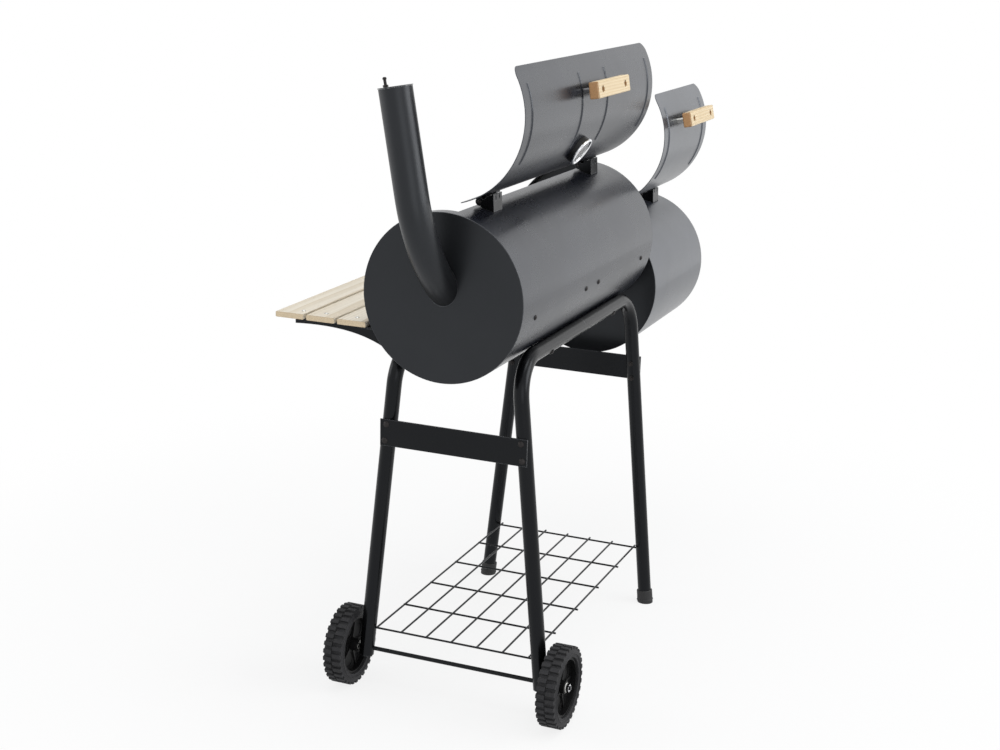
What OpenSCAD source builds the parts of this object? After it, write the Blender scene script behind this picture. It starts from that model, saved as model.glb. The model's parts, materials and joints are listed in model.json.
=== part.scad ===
// Offset smoker: barrel cooking chamber, lower side firebox, wheeled tube frame.
// +X points to the chimney end, -X to the firebox end, -Y to the side shelf (front).
// Both lids are drawn open. Each lid is built closed about its barrel's axis and
// then swung back about its hinge pin.

/* [Sheet metal] */
// Thickness of the rolled barrels, lids and end discs
sheet = 1.5; // [1:0.1:2.5]
// Thickness of brackets, cross plates and hinge leaves
plate = 2.5; // [2:0.1:4]
// Depth of the flange pressed round each end disc
end_flange = 14; // [8:1:30]
// Radial gap between parts that fit into each other
fit_gap = 0.1; // [0.05:0.01:0.2]

/* [Cooking chamber] */
// Outside diameter of the cooking chamber
chamber_d = 300; // [270:2:330]
// Length of the cooking chamber over its end discs
chamber_len = 716; // [660:2:800]
// Height of the chamber's axis above the ground
axis_z = 786; // [740:2:840]
// How far the chimney end stands out past the wheel-side legs
chamber_overhang = 71; // [40:1:90]

/* [Firebox] */
// Outside diameter of the firebox
firebox_d = 300; // [270:2:320]
// Length of the firebox over its end discs
firebox_len = 350; // [320:2:420]
// How far the firebox's axis lies below the chamber's
firebox_drop = 118; // [90:1:125]
// Free gap between the two barrels, bridged by the smoke collar
duct_gap = 40; // [25:1:60]
// Outside diameter of the smoke collar
duct_d = 136; // [100:2:140]
// Diameter of the rotating air-vent disc
vent_d = 112; // [100:2:130]
// How far the air vent sits below the firebox's axis
vent_drop = 40; // [20:1:60]

/* [Lids] */
// Length of each end of the chamber that the main lid leaves free
lid_margin = 15; // [10:1:30]
// Length of each end of the firebox that its lid leaves free
firebox_lid_margin = 20; // [12:1:30]
// Angle of the hinge line, from the rear horizontal
lid_start = 80; // [74:1:84]
// Angle of barrel that the main lid covers
lid_arc = 109; // [100:1:116]
// Angle of barrel that the firebox lid covers
firebox_lid_arc = 115; // [100:1:118]
// How far the main lid swings back when open
lid_open = 155; // [120:1:160]
// How far the firebox lid swings back when open
firebox_lid_open = 158.5; // [120:0.5:162]
// Radial gap between a closed lid and its barrel
lid_gap = 0.6; // [0.4:0.1:1.5]
// Overlap of the lid past the edge of the opening
lid_overlap = 9; // [6:1:14]
// Width of the pressed stiffening ribs
rib_w = 7; // [5:0.5:10]
// Height of the pressed stiffening ribs
rib_h = 1.8; // [1:0.1:3]
// Distance of the outer ribs from the lid's ends
rib_inset = 31; // [24:1:50]
// Half the distance between the two middle ribs of the main lid
rib_mid = 68; // [55:1:90]

/* [Hinges] */
// Length of a hinge along the barrel
hinge_w = 38; // [34:1:60]
// Distance of the main hinges from the lid's middle
hinge_off = 250; // [180:1:280]
// Distance of the firebox hinges from its lid's middle
firebox_hinge_off = 105; // [80:1:118]
// Height of the hinge pin above the barrel
pin_rise = 10; // [10:0.5:14]
// Diameter of the hinge pin
pin_d = 6; // [5:0.5:8]

/* [Handles and thermometer] */
// Length of the wooden handle bars
handle_l = 175; // [140:1:220]
// Height of the wooden handle bars
handle_h = 30; // [24:1:40]
// Thickness of the wooden handle bars
handle_t = 18; // [14:1:24]
// Distance between the two handle screws
handle_pitch = 124; // [90:1:140]
// Clear space between a lid and its handle bar
handle_gap = 20; // [16:1:35]
// Angle from the lid's free edge to its handle
handle_back = 25; // [18:1:30]
// Diameter of the thermometer's bezel
thermo_d = 58; // [50:1:70]
// How far the thermometer stands proud of the lid
thermo_h = 12; // [11:0.5:18]
// Angle from the hinge line to the thermometer
thermo_angle = 41; // [36:1:50]
// Offset of the thermometer from the lid's middle, towards the chimney
thermo_off = 18; // [-20:1:30]

/* [Chimney] */
// Outside diameter of the chimney pipe
pipe_d = 57; // [46:1:64]
// Height of the pipe's root above the chamber's axis
pipe_root = 22; // [0:1:30]
// Angle above the horizontal at which the pipe leaves the chamber
pipe_exit = 36; // [32:1:50]
// Turn of the bent pipe about its exit direction, towards the front
pipe_turn = 13; // [0:1:20]
// Angle of the pipe's bend
pipe_bent = 56; // [45:1:60]
// Radius of the pipe's bend
pipe_bend = 200; // [160:5:300]
// Length of the pipe's straight part
pipe_straight = 176; // [120:2:260]

/* [Frame] */
// Distance between the wheel-side and the firebox-side legs
frame_len = 612; // [560:2:660]
// Half the distance between the front and rear legs at the ground
foot_y = 184; // [170:1:210]
// Sideways lean of the legs, per unit of height
splay = 0.1; // [0.05:0.01:0.12]
// Outside diameter of the frame tube
tube_d = 28; // [25:1:32]
// Wall of the frame tube
tube_wall = 1.5; // [1.2:0.1:2.5]
// Bend radius of the frame tube, on its centre line
bend_r = 70; // [60:1:90]
// Height of the middle of the cross plates
brace_z = 513; // [420:1:540]
// Height of the cross plates
brace_h = 50; // [40:1:60]
// Distance between the two bolts at each end of a cross plate
brace_pitch = 31; // [24:1:36]

/* [Wheels] */
// Diameter of the wheels over the tread
wheel_d = 152; // [140:2:170]
// Width of the tyres
wheel_w = 38; // [30:1:46]
// Diameter of the axle
axle_d = 8; // [6:0.5:10]
// Tread blocks in each row
tread_count = 32; // [20:1:40]
// Depth of the tread
tread_h = 4; // [2:0.5:6]
// Windows in each wheel hub
hub_windows = 5; // [4:1:6]

/* [Wire shelf and grates] */
// Height of the wire shelf above the ground
shelf_z = 119; // [110:1:200]
// Distance between the shelf's long wires
shelf_pitch_y = 51.2; // [44:0.1:51.8]
// Cells along the wire shelf
shelf_cells = 5; // [4:1:7]
// Diameter of the shelf's wires
shelf_wire = 3.8; // [3:0.1:5]
// Diameter of the grates' frame rods
grate_rod = 6; // [5:0.5:8]
// Diameter of the grates' bars
grate_bar = 4; // [3:0.5:5]
// Distance between the bars of the cooking grates
grate_pitch = 20; // [16:1:28]
// How far the grate rails' screws lie below the chamber's axis
rail_drop = 29; // [20:1:40]

/* [Side shelf] */
// Width of each wooden slat
slat_w = 56; // [44:1:64]
// Thickness of the slats
slat_t = 10; // [8:1:16]
// Gap between the slats
slat_gap = 6; // [4:1:10]
// Clear distance from the chamber's side to the inner slat
slat_inset = 13.5; // [10:0.5:30]
// Length of the slats
slat_len = 698; // [560:2:740]
// How far the top of the slats lies below the chamber's axis
slat_drop = 60; // [40:1:70]

/* [Hidden] */
$fn = 96;
eps = 0.5;           // overshoot of a cut past the face it opens
run_gap = 0.3;       // clearance between faces that slide past each other
pin_clear = 0.08;    // radial running clearance on pins and the axle
big = 2000;

// ---- stations along X ----
chamber_x1 = chamber_overhang;
chamber_x0 = chamber_x1 - chamber_len;
chamber_mid = (chamber_x0 + chamber_x1) / 2;
firebox_x1 = chamber_x0 - duct_gap;
firebox_x0 = firebox_x1 - firebox_len;
firebox_mid = (firebox_x0 + firebox_x1) / 2;
firebox_z = axis_z - firebox_drop;
chamber_r = chamber_d / 2;
firebox_r = firebox_d / 2;
lid_x0 = chamber_x0 + lid_margin;
lid_x1 = chamber_x1 - lid_margin;
firebox_lid_x0 = firebox_x0 + firebox_lid_margin;
firebox_lid_x1 = firebox_x1 - firebox_lid_margin;

// ---- fasteners (radii) ----
collar_bolt_r = 2.5;
rail_screw_r = 2.5;
vent_bolt_r = 3;
hinge_screw_r = 2;
rivet_r = 2;
handle_screw_r = 2.5;
saddle_r = 3;
frame_bolt_r = 3;
slat_screw_r = 2;
bracket_bolt_r = 2.5;

// ---- smoke collar ----
duct_z = axis_z - firebox_drop / 2;
collar_rim = 12;                            // width of the collar's flange rings
collar_lip = 3;                             // collar past each end disc's outer face

// ---- air vent ----
vent_hole_r = 12;
vent_hole_at = vent_d * 0.3;                // holes from the vent's middle
vent_t = 1.5;
vent_knob_r = 6;
vent_knob_l = 18;
vent_knob_at = vent_d / 2 - vent_knob_r - 4;

// ---- frame tube ----
tube_r = tube_d / 2;
splay_a = atan(splay);
// The top tubes run along the line where the leaning frame just touches the barrel.
touch = chamber_r + tube_r + run_gap;
qa = 1 + splay * splay;
qb = splay * foot_y + axis_z;
qc = foot_y * foot_y + axis_z * axis_z - touch * touch;
top_z = (qb - sqrt(qb * qb - qa * qc)) / qa;
top_y = foot_y - splay * top_z;
saddle_a = atan2(axis_z - top_z, -top_y);   // from the tube up to the barrel's axis, rear side
frame_mid = -frame_len / 2;
saddle_off = 172;                           // saddle bolts from the frame's middle
spigot_len = 45;                            // swaged end inside the other half
foot_floor = 5;                             // rubber under the tube's end
foot_cap_h = 26;                            // how far the rubber reaches up the leg

// ---- wheels ----
wheel_r = wheel_d / 2;
axle_z = wheel_r;
axle_r = axle_d / 2;
leg_side_y = foot_y - splay * axle_z + tube_r / cos(splay_a);
washer_t = 1;
washer_r = axle_r + 5;
inner_washer_y = leg_side_y + splay * washer_r + run_gap;
hub_y0 = inner_washer_y + washer_t + run_gap;
wheel_y = hub_y0 + wheel_w / 2 + 1;         // middle plane of a wheel
hub_boss = 12;
hub_recess = 6;
hub_y1 = wheel_y + wheel_w / 2 - hub_recess;
outer_washer_y = hub_y1 + run_gap;
nut_h = 6;
axle_end = outer_washer_y + washer_t + nut_h + 2.5;
rim_r = wheel_r * 0.735;                    // seat of the tyre on the hub
leg_low = axle_z - 13;

// ---- side shelf ----
slat_top = axis_z - slat_drop;
slat_low = slat_top - slat_t;
slat_y1 = -(chamber_side(slat_drop) + slat_inset);
slat_y0 = slat_y1 - 3 * slat_w - 2 * slat_gap;
bracket_inset = 17;                         // bracket from the slats' ends
bracket_w = 20;
bracket_reach = 38;                         // slat left free past the bracket's tip
bracket_tip = 5;                            // depth of the gusset at its tip
slat_step = slat_w + slat_gap;
slat_screw_y = [slat_w - 12, slat_step + slat_w / 2, 2 * slat_step + slat_w / 2];
bracket_x = [
  chamber_mid - slat_len / 2 + bracket_inset,
  chamber_mid + slat_len / 2 - bracket_inset - bracket_w
];
bracket_a0 = 180 + asin((axis_z - slat_low) / chamber_r);
bracket_a1 = bracket_a0 + 14;               // angle of barrel that a gusset covers

// ---- chimney ----
pipe_r = pipe_d / 2;
pipe_root_z = axis_z + pipe_root;
pipe_inward = 7;                            // angle of bend inside the end disc
pipe_dir = exit_turned(-sin(pipe_bent), cos(pipe_bent));
pipe_top = [chamber_x1, 0, pipe_root_z] + pipe_straight * pipe_dir
  + exit_turned(pipe_bend * (cos(pipe_bent) - 1), pipe_bend * sin(pipe_bent));
cap_r = pipe_r + 1;
cap_t = 1.5;
cap_pivot = [9, -13];                       // pivot from the pipe's centre, in the cap's plane
cap_bolt_r = 2.5;
cap_bolt_h = 15;

// ---- hinges and lids ----
knuckle_r = pin_rise - plate;
lid_in = lid_gap;                           // lid's inner radius less the barrel's radius
lid_out = lid_gap + sheet;
leaf_out = lid_out + fit_gap + plate;
leaf_a = 11.5;                              // angle of barrel that a hinge leaf covers
lip_a0 = 5;
lip_a1 = 10.5;
lid_knuckle_w = hinge_w * 0.43;

main_pin = pin_at(axis_z, chamber_r);
firebox_pin = pin_at(firebox_z, firebox_r);
main_handle_a = lid_start + lid_arc - handle_back;
firebox_handle_a = lid_start + firebox_lid_arc - handle_back;
handle_sink = 6;                            // depth of the screws' counterbores
standoff_r = 5;
bead_r = (rib_w * rib_w / 4 + rib_h * rib_h) / (2 * rib_h);
rib_a0 = 44;                                // ribs start this angle past the hinge line
rib_free = 12;                              // ribs stop this angle short of the free edge
lid_corner = 22;                            // rounding of the free edge's corners

// ---- thermometer ----
thermo_r = thermo_d / 2;
thermo_x = chamber_mid + thermo_off;
thermo_a = lid_start + thermo_angle;
dial_r = thermo_r - 4;
stem_r = 4;
stem_l = 60;
case_wall = 2;
bezel_h = 3;
dial_z = thermo_h - 5;                      // top of the dial above the lid
dial_t = 1;
glass_z = thermo_h - 2.4;
glass_t = 1.4;
needle_t = 0.5;
pivot_r = 1;
needle_rest = 225;                          // direction of the cold needle on the dial

// ---- rails and grates ----
rail_in = 20;                               // rail's inner end from the chamber's middle
rail_screw_in = 34;
rail_screw_out = 294;
rail_out = rail_screw_out + 14;
rail_web = 10;                              // half the height of a rail's web
rail_lip = 16;
inner_r = chamber_r - sheet;
rail_a = -asin(rail_drop / inner_r);
rail_da = rail_web / inner_r * 180 / PI;
rail_r1 = inner_r - fit_gap;
rail_r0 = rail_r1 - sheet;
rail_z = axis_z + rail_r0 * sin(rail_a - rail_da);
rail_y = rail_r0 * cos(rail_a - rail_da);
grate_r = grate_rod / 2;
bar_r = grate_bar / 2;
grate_z = rail_z + sheet + fit_gap + grate_r;
screw_tip = chamber_r - 2 * sheet - fit_gap - 2.6 * rail_screw_r;
grate_y = screw_tip * cos(rail_a) - 2 - grate_r;
grate_gap = 8;                              // space between the two cooking grates
grate_in = end_flange + 24;                 // cooking grates stop short of the pipe's inner end
fire_in = end_flange + 8;
fire_pitch = 1.2 * grate_pitch;
fire_drop = 78;                             // the fire grate wedges this far below the axis
fire_z = firebox_z - fire_drop;
fire_r = firebox_r - sheet - run_gap - grate_r;
fire_y = sqrt(fire_r * fire_r - pow(firebox_z - fire_z, 2));

// ---- overall box, which sets the origin under its middle ----
x_min = firebox_x0 - run_gap - vent_t - vent_knob_l;
// the elbow reaches furthest when it bends past the upright, else the cap does
pipe_side = [cos(pipe_turn) * sin(pipe_exit), cos(pipe_exit)];
elbow_x = chamber_x1 + pipe_bend * (norm(pipe_side) - pipe_side[0]) + pipe_r;
cap_lift = run_gap + (pipe_dir[0] > 0 ? cap_t - 0.5 : 0);
cap_x = pipe_top[0] + cap_r * norm([pipe_dir[1], pipe_dir[2]]) + cap_lift * pipe_dir[0];
x_max = pipe_dir[0] < 0 ? max(elbow_x, cap_x) : cap_x;
y_min = slat_y0;
y_max = axle_end;
x_mid = (x_min + x_max) / 2;
y_mid = (y_min + y_max) / 2;

function pol(r, a) = [r * cos(a), r * sin(a)];
// half-width of the chamber at a depth below its axis
function chamber_side(depth) = sqrt(pow(chamber_d / 2, 2) - depth * depth);
// a point of the closed lid, after the lid has swung open by angle a about pin p
function swung(q, p, a) = p + [[cos(a), sin(a)], [-sin(a), cos(a)]] * (q - p);
// a vector in the plane of the pipe's bend, x across and z along its exit direction
function exit_turned(x, z) = [
  x * cos(pipe_turn) * sin(pipe_exit) + z * cos(pipe_exit),
  x * sin(pipe_turn),
  z * sin(pipe_exit) - x * cos(pipe_turn) * cos(pipe_exit)
];
// how far a cylinder of radius r falls away over half a width
function sag(half, r) = r - sqrt(r * r - half * half);
function pin_at(z, r) = [(r + pin_rise) * cos(lid_start), z + (r + pin_rise) * sin(lid_start)];
function bezier(a, b, c, t) = a * (1 - t) * (1 - t) + b * 2 * t * (1 - t) + c * t * t;
function fan(a0, a1, r) = concat([[0, 0]], [for (i = [0:12]) pol(r, a0 + (a1 - a0) * i / 12)]);

// ---------------------------------------------------------------- placing
module place() translate([-x_mid, -y_mid, 0]) children();
// 2D shapes in the barrel's cross-section (Y, Z), drawn from x0 to x1
module along_x(x0, x1, z = 0) translate([x0, 0, z]) rotate([90, 0, 90]) linear_extrude(x1 - x0) children();
// local Z points out of the barrel at angle a
module radial(x, z, a) translate([x, 0, z]) rotate([a - 90, 0, 0]) children();
module swing_open(p) {
  a = p == main_pin ? lid_open : firebox_lid_open;
  translate([0, p[0], p[1]]) rotate([-a, 0, 0]) translate([0, -p[0], -p[1]]) children();
}
module sector(r0, r1, a0, a1) {
  intersection() {
    difference() {
      circle(r1);
      circle(r0);
    }
    polygon(fan(a0, a1, r1 * 2));
  }
}
module rod(a, b, r) {
  d = b - a;
  translate(a) rotate([0, acos(d[2] / norm(d)), atan2(d[1], d[0])]) cylinder(r = r, h = norm(d), $fn = 32);
}
// clearance hole for a fastener of radius r
module through(r) cylinder(r = r + fit_gap, h = 3 * tube_d, center = true);
// a by b rectangle with its corners cut at 45 degrees
module eased(a, b, c) {
  polygon([[c, 0], [a - c, 0], [a, c], [a, b - c], [a - c, b], [c, b], [0, b - c], [0, c]]);
}
// tube of outer radius r1 and inner radius r0
module pipe(r1, r0, h) {
  difference() {
    cylinder(r = r1, h = h);
    if (r0 > 0) translate([0, 0, -eps]) cylinder(r = r0, h = h + 2 * eps);
  }
}
// bolt along +Z: pan head below 0, shank up to grip, nut from grip on; bow is the radius of a hollow
// face under the nut, which then sits on the hollow's rim
module bolt(r, grip, nut = true, bow = 0) {
  head_h = r * 1.1;
  intersection() {
    translate([0, 0, -head_h]) cylinder(r = r * 2, h = head_h);
    translate([0, 0, r * 1.4]) sphere(r = r * 2.5);
  }
  cylinder(r = r, h = grip + (nut ? r * 2.6 : 0));
  if (nut) translate([0, 0, grip + (bow > 0 ? sag(2 * r, bow) : 0)])
    cylinder(r = r * 1.9, h = r * 1.6, $fn = 6);
}

// ---------------------------------------------------------------- barrels
module shell(x0, x1, z, r, a0, a1, lx0, lx1) {
  difference() {
    along_x(x0 + sheet, x1 - sheet, z) difference() {
      circle(r);
      circle(r - sheet);
    }
    overlap_a = lid_overlap / r * 180 / PI;
    along_x(lx0 + lid_overlap, lx1 - lid_overlap, z) polygon(fan(a0 + overlap_a, a1 - overlap_a, r * 2));
  }
}
// pressed end disc: a plate with a rolled edge, and a flange inside the shell; dir points outwards
module end_disc(x, z, r, dir) {
  translate([x, 0, z]) rotate([0, -90 * dir, 0]) rotate_extrude() {
    square([r - sheet / 2, sheet]);
    translate([r - sheet / 2, sheet / 2]) circle(sheet / 2, $fn = 24);
    translate([r - 2 * sheet - fit_gap, sheet / 2]) square([sheet, end_flange]);
  }
}
module chamber_shell() {
  color([0.09, 0.09, 0.1]) place() difference() {
    shell(chamber_x0, chamber_x1, axis_z, chamber_r, lid_start, lid_start + lid_arc, lid_x0, lid_x1);
    at_rail_screws() through(rail_screw_r);
    at_saddle_bolts() cylinder(r = saddle_r + fit_gap, h = 4 * tube_r);
    at_bracket_bolts() through(bracket_bolt_r);
    at_hinge_screws(axis_z, chamber_r, chamber_mid, hinge_off) through(hinge_screw_r);
  }
}
module chamber_end_chimney() {
  color([0.09, 0.09, 0.1]) place() difference() {
    end_disc(chamber_x1, axis_z, chamber_r, 1);
    pipe_body(pipe_r + fit_gap);
  }
}
module duct_bore(r) {
  reach = duct_gap + 2 * end_flange;
  translate([firebox_x1 - end_flange, 0, duct_z]) rotate([0, 90, 0]) cylinder(r = r, h = reach);
}
module chamber_end_firebox() {
  color([0.09, 0.09, 0.1]) place() difference() {
    end_disc(chamber_x0, axis_z, chamber_r, -1);
    duct_bore(duct_d / 2 + fit_gap);
    at_collar_holes() through(collar_bolt_r);
  }
}
module firebox_shell() {
  color([0.09, 0.09, 0.1]) place() difference() {
    shell(firebox_x0, firebox_x1, firebox_z, firebox_r, lid_start, lid_start + firebox_lid_arc,
          firebox_lid_x0, firebox_lid_x1);
    at_hinge_screws(firebox_z, firebox_r, firebox_mid, firebox_hinge_off) through(hinge_screw_r);
  }
}
module firebox_end_inner() {
  color([0.09, 0.09, 0.1]) place() difference() {
    end_disc(firebox_x1, firebox_z, firebox_r, 1);
    duct_bore(duct_d / 2 + fit_gap);
    at_collar_holes() through(collar_bolt_r);
  }
}
module firebox_end_outer() {
  color([0.09, 0.09, 0.1]) place() difference() {
    end_disc(firebox_x0, firebox_z, firebox_r, -1);
    at_vent() vent_holes();
    at_vent() through(vent_bolt_r);
  }
}

// ---------------------------------------------------------------- smoke collar
module smoke_collar() {
  color([0.08, 0.08, 0.09]) place() difference() {
    union() {
      translate([firebox_x1 - collar_lip, 0, duct_z]) rotate([0, 90, 0])
        cylinder(r = duct_d / 2, h = duct_gap + 2 * collar_lip);
      for (x = [firebox_x1, chamber_x0 - sheet])
        translate([x, 0, duct_z]) rotate([0, 90, 0]) cylinder(r = duct_d / 2 + collar_rim, h = sheet);
    }
    duct_bore(duct_d / 2 - sheet);
    at_collar_holes() through(collar_bolt_r);
  }
}
// local Z runs along the collar, from the middle between the barrels
module at_collar_holes() {
  for (a = [45:90:359])
    translate([(firebox_x1 + chamber_x0) / 2, 0, duct_z]) rotate([a, 0, 0])
      translate([0, 0, duct_d / 2 + collar_rim / 2]) rotate([0, 90, 0]) children();
}
// heads on the collar's flanges, nuts inside the barrels
module collar_bolts() {
  color([0.3, 0.3, 0.32]) place() at_collar_holes() for (a = [0, 180])
    rotate([a, 0, 0]) translate([0, 0, duct_gap / 2 - sheet]) bolt(collar_bolt_r, 2 * sheet);
}

// ---------------------------------------------------------------- rails and grates
module at_rail_screws() {
  for (s = [-1, 1], x = [-rail_screw_out, -rail_screw_in, rail_screw_in, rail_screw_out])
    translate([chamber_mid + x, 0, axis_z]) rotate([s * (rail_a - 90), 0, 0])
      translate([0, 0, chamber_r]) rotate([180, 0, 0]) children();
}
// side: 1 rear, -1 front; dir: 1 chimney end, -1 firebox end
module grate_rail(side, dir) {
  translate([chamber_mid, 0, 0]) mirror([dir < 0 ? 1 : 0, 0, 0]) mirror([0, side < 0 ? 1 : 0, 0]) {
    along_x(rail_in, rail_out, axis_z) sector(rail_r0, rail_r1, rail_a - rail_da, rail_a + rail_da);
    translate([rail_in, rail_y - rail_lip, rail_z]) cube([rail_out - rail_in, rail_lip + 0.4 * sheet, sheet]);
  }
}
module grate_rails() {
  color([0.35, 0.35, 0.36]) place() difference() {
    for (side = [-1, 1], dir = [-1, 1]) grate_rail(side, dir);
    at_rail_screws() through(rail_screw_r);
  }
}
module rail_screws() {
  color([0.12, 0.12, 0.13]) place() at_rail_screws() bolt(rail_screw_r, 2 * sheet + fit_gap, bow = rail_r0);
}
// welded grate: a rod frame with bars across it, between x0 and x1
module grate(x0, x1, y, z, pitch) {
  count = floor((x1 - x0 - grate_rod) / pitch);
  step = (x1 - x0 - grate_rod) / count;
  for (s = [-1, 1])
    rod([x0, s * y, z], [x1, s * y, z], grate_r);
  for (x = [x0 + grate_r, x1 - grate_r])
    rod([x, -y, z], [x, y, z], grate_r);
  for (i = [1:count - 1]) {
    x = x0 + grate_r + i * step;
    rod([x, -y, z + grate_r - bar_r], [x, y, z + grate_r - bar_r], bar_r);
  }
}
module cooking_grate_chimney() {
  color([0.6, 0.6, 0.62]) place()
    grate(chamber_mid + grate_gap / 2, chamber_x1 - grate_in, grate_y, grate_z, grate_pitch);
}
module cooking_grate_firebox() {
  color([0.6, 0.6, 0.62]) place()
    grate(chamber_x0 + grate_in, chamber_mid - grate_gap / 2, grate_y, grate_z, grate_pitch);
}
module fire_grate() {
  color([0.2, 0.2, 0.2]) place()
    grate(firebox_x0 + fire_in, firebox_x1 - fire_in, fire_y, fire_z, fire_pitch);
}

// ---------------------------------------------------------------- air vent
module at_vent() translate([firebox_x0, 0, firebox_z - vent_drop]) rotate([0, -90, 0]) children();
module vent_holes() {
  for (a = [45:90:359])
    rotate([0, 0, a]) translate([vent_hole_at, 0, 0]) cylinder(r = vent_hole_r, h = 20, center = true);
}
module vent_disc() {
  color([0.1, 0.1, 0.11]) place() at_vent() difference() {
    translate([0, 0, run_gap]) cylinder(r = vent_d / 2, h = vent_t);
    vent_holes();
    cylinder(r = vent_bolt_r + pin_clear, h = 20, center = true);
    translate([vent_knob_at, 0, 0]) cylinder(r = 2 + fit_gap, h = 20, center = true);
  }
}
// wire-wound grip on the disc's rim
module vent_knob() {
  turn_h = vent_knob_l / 10;
  color([0.5, 0.5, 0.52]) place() at_vent() translate([vent_knob_at, 0, run_gap]) {
    cylinder(r = 2, h = vent_knob_l + vent_t - 2);
    for (i = [0:4]) translate([0, 0, vent_t + 2 * i * turn_h]) {
      cylinder(r1 = vent_knob_r - 1, r2 = vent_knob_r, h = turn_h);
      translate([0, 0, turn_h]) cylinder(r1 = vent_knob_r, r2 = vent_knob_r - 1, h = turn_h);
    }
  }
}
module vent_pivot() {
  color([0.5, 0.5, 0.52]) place() at_vent() translate([0, 0, 2 * run_gap + vent_t]) rotate([180, 0, 0])
    bolt(vent_bolt_r, 2 * run_gap + vent_t + sheet);
}

// ---------------------------------------------------------------- chimney
// the bent pipe, solid when bore is 0; it ends square inside the chamber
module pipe_body(r, bore = 0) {
  at_pipe_bend() {
    pipe(r, bore, pipe_straight);
    translate([-pipe_bend, 0, 0]) rotate([-90, 0, 0]) rotate_extrude(angle = pipe_bent + pipe_inward)
      translate([pipe_bend, 0]) difference() {
        circle(r);
        if (bore > 0) circle(bore);
      }
  }
}
module at_pipe_bend()
  translate([chamber_x1, 0, pipe_root_z]) rotate([0, 90 - pipe_exit, 0]) rotate([0, 0, pipe_turn])
    translate([-pipe_bend, 0, 0]) rotate([0, -pipe_bent, 0]) translate([pipe_bend, 0, 0]) children();
module at_pipe_top() at_pipe_bend() translate([0, 0, pipe_straight]) children();
module chimney_pipe() {
  color([0.1, 0.1, 0.11]) place() {
    pipe_body(pipe_r, pipe_r - sheet);
    // tab inside the mouth that carries the cap's pivot bolt
    at_pipe_top() translate([0, 0, -plate]) difference() {
      intersection() {
        cylinder(r = pipe_r - sheet / 2, h = plate);
        rotate([0, 0, atan2(cap_pivot[1], cap_pivot[0])])
          translate([norm(cap_pivot) - 7, -9, 0]) cube([pipe_r, 18, plate]);
      }
      translate([cap_pivot[0], cap_pivot[1], -eps]) cylinder(r = cap_bolt_r + fit_gap, h = plate + 2 * eps);
    }
  }
}
module chimney_cap() {
  color([0.08, 0.08, 0.09]) place() at_pipe_top() translate([0, 0, run_gap]) difference() {
    union() {
      cylinder(r = cap_r, h = cap_t - 0.5);
      translate([0, 0, cap_t - 0.5]) cylinder(r1 = cap_r, r2 = cap_r - 0.5, h = 0.5);
    }
    translate([cap_pivot[0], cap_pivot[1], -eps]) cylinder(r = cap_bolt_r + pin_clear, h = cap_t + 2 * eps);
  }
}
module cap_bolt() {
  color([0.15, 0.15, 0.16]) place() at_pipe_top() translate([cap_pivot[0], cap_pivot[1], 0]) {
    translate([0, 0, -plate - 6]) cylinder(r = cap_bolt_r, h = plate + 6 + cap_t + cap_bolt_h);
    translate([0, 0, -plate - 4]) cylinder(r = 4.6, h = 4, $fn = 6);
    translate([0, 0, 2 * run_gap + cap_t]) cylinder(r = 4.6, h = 3.6, $fn = 6);
    translate([0, 0, cap_t + cap_bolt_h - 2]) cylinder(r = 3.4, h = 2.4);
    translate([0, 0, cap_t + cap_bolt_h + 0.4]) cylinder(r1 = 3.4, r2 = 2, h = 1.6);
  }
}

// ---------------------------------------------------------------- lids
// pressed rib: a bead proud of the lid, with its hollow behind
module rib(x, z, r, a0, a1, rr, rise) {
  translate([0, 0, z]) rotate([90, 0, 90]) rotate([0, 0, a0]) rotate_extrude(angle = a1 - a0)
    translate([r + rise, x]) circle(rr, $fn = 32);
}
// what a rounded corner of the free edge leaves away; s: 1 for the lid's chimney end, -1 for the other
module lid_corner_cut(x, z, r, a, s) {
  c = 2 * lid_corner;
  inset = lid_corner - 0.8;
  radial(x - s * inset, z, a - inset / r * 180 / PI) difference() {
    translate([s > 0 ? 0 : -c, -c, r / 2]) cube([c, c, r]);
    cylinder(r = lid_corner, h = 2 * r);
  }
}
module lid(z, r, arc, x0, x1, ribs, handle_mid) {
  a0 = lid_start + rib_a0;
  a1 = lid_start + arc - rib_free;
  handle_a = lid_start + arc - handle_back;
  difference() {
    union() {
      along_x(x0, x1, z) sector(r + lid_in, r + lid_out, lid_start, lid_start + arc);
      intersection() {
        for (x = ribs)
          rib(x, z, r + lid_out, a0, a1, bead_r, rib_h - bead_r);
        along_x(x0, x1, z) difference() {
          circle(r + lid_out + rib_h * 2);
          circle(r + lid_in + sheet / 2);
        }
      }
    }
    intersection() {
      for (x = ribs)
        rib(x, z, r + lid_in, a0 + 2, a1 - 2, bead_r, rib_h - bead_r - 0.3);
      along_x(x0, x1, z) circle(r + lid_in + rib_h * 2);
    }
    for (s = [-1, 1]) lid_corner_cut(s > 0 ? x1 : x0, z, r, lid_start + arc, s);
    at_handle_screws(z, r, handle_a, handle_mid) through(handle_screw_r);
  }
}
module main_lid() {
  color([0.12, 0.12, 0.13]) place() swing_open(main_pin) difference() {
    lid(axis_z, chamber_r, lid_arc, lid_x0, lid_x1,
        [lid_x0 + rib_inset, chamber_mid - rib_mid, chamber_mid + rib_mid, lid_x1 - rib_inset], chamber_mid);
    at_thermo() through(stem_r);
    at_leaf_rivets(axis_z, chamber_r, chamber_mid, hinge_off) through(rivet_r);
  }
}
module firebox_lid() {
  color([0.12, 0.12, 0.13]) place() swing_open(firebox_pin) difference() {
    lid(firebox_z, firebox_r, firebox_lid_arc, firebox_lid_x0, firebox_lid_x1,
        [firebox_lid_x0 + rib_inset, firebox_lid_x1 - rib_inset], firebox_mid);
    at_leaf_rivets(firebox_z, firebox_r, firebox_mid, firebox_hinge_off) through(rivet_r);
  }
}

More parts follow.
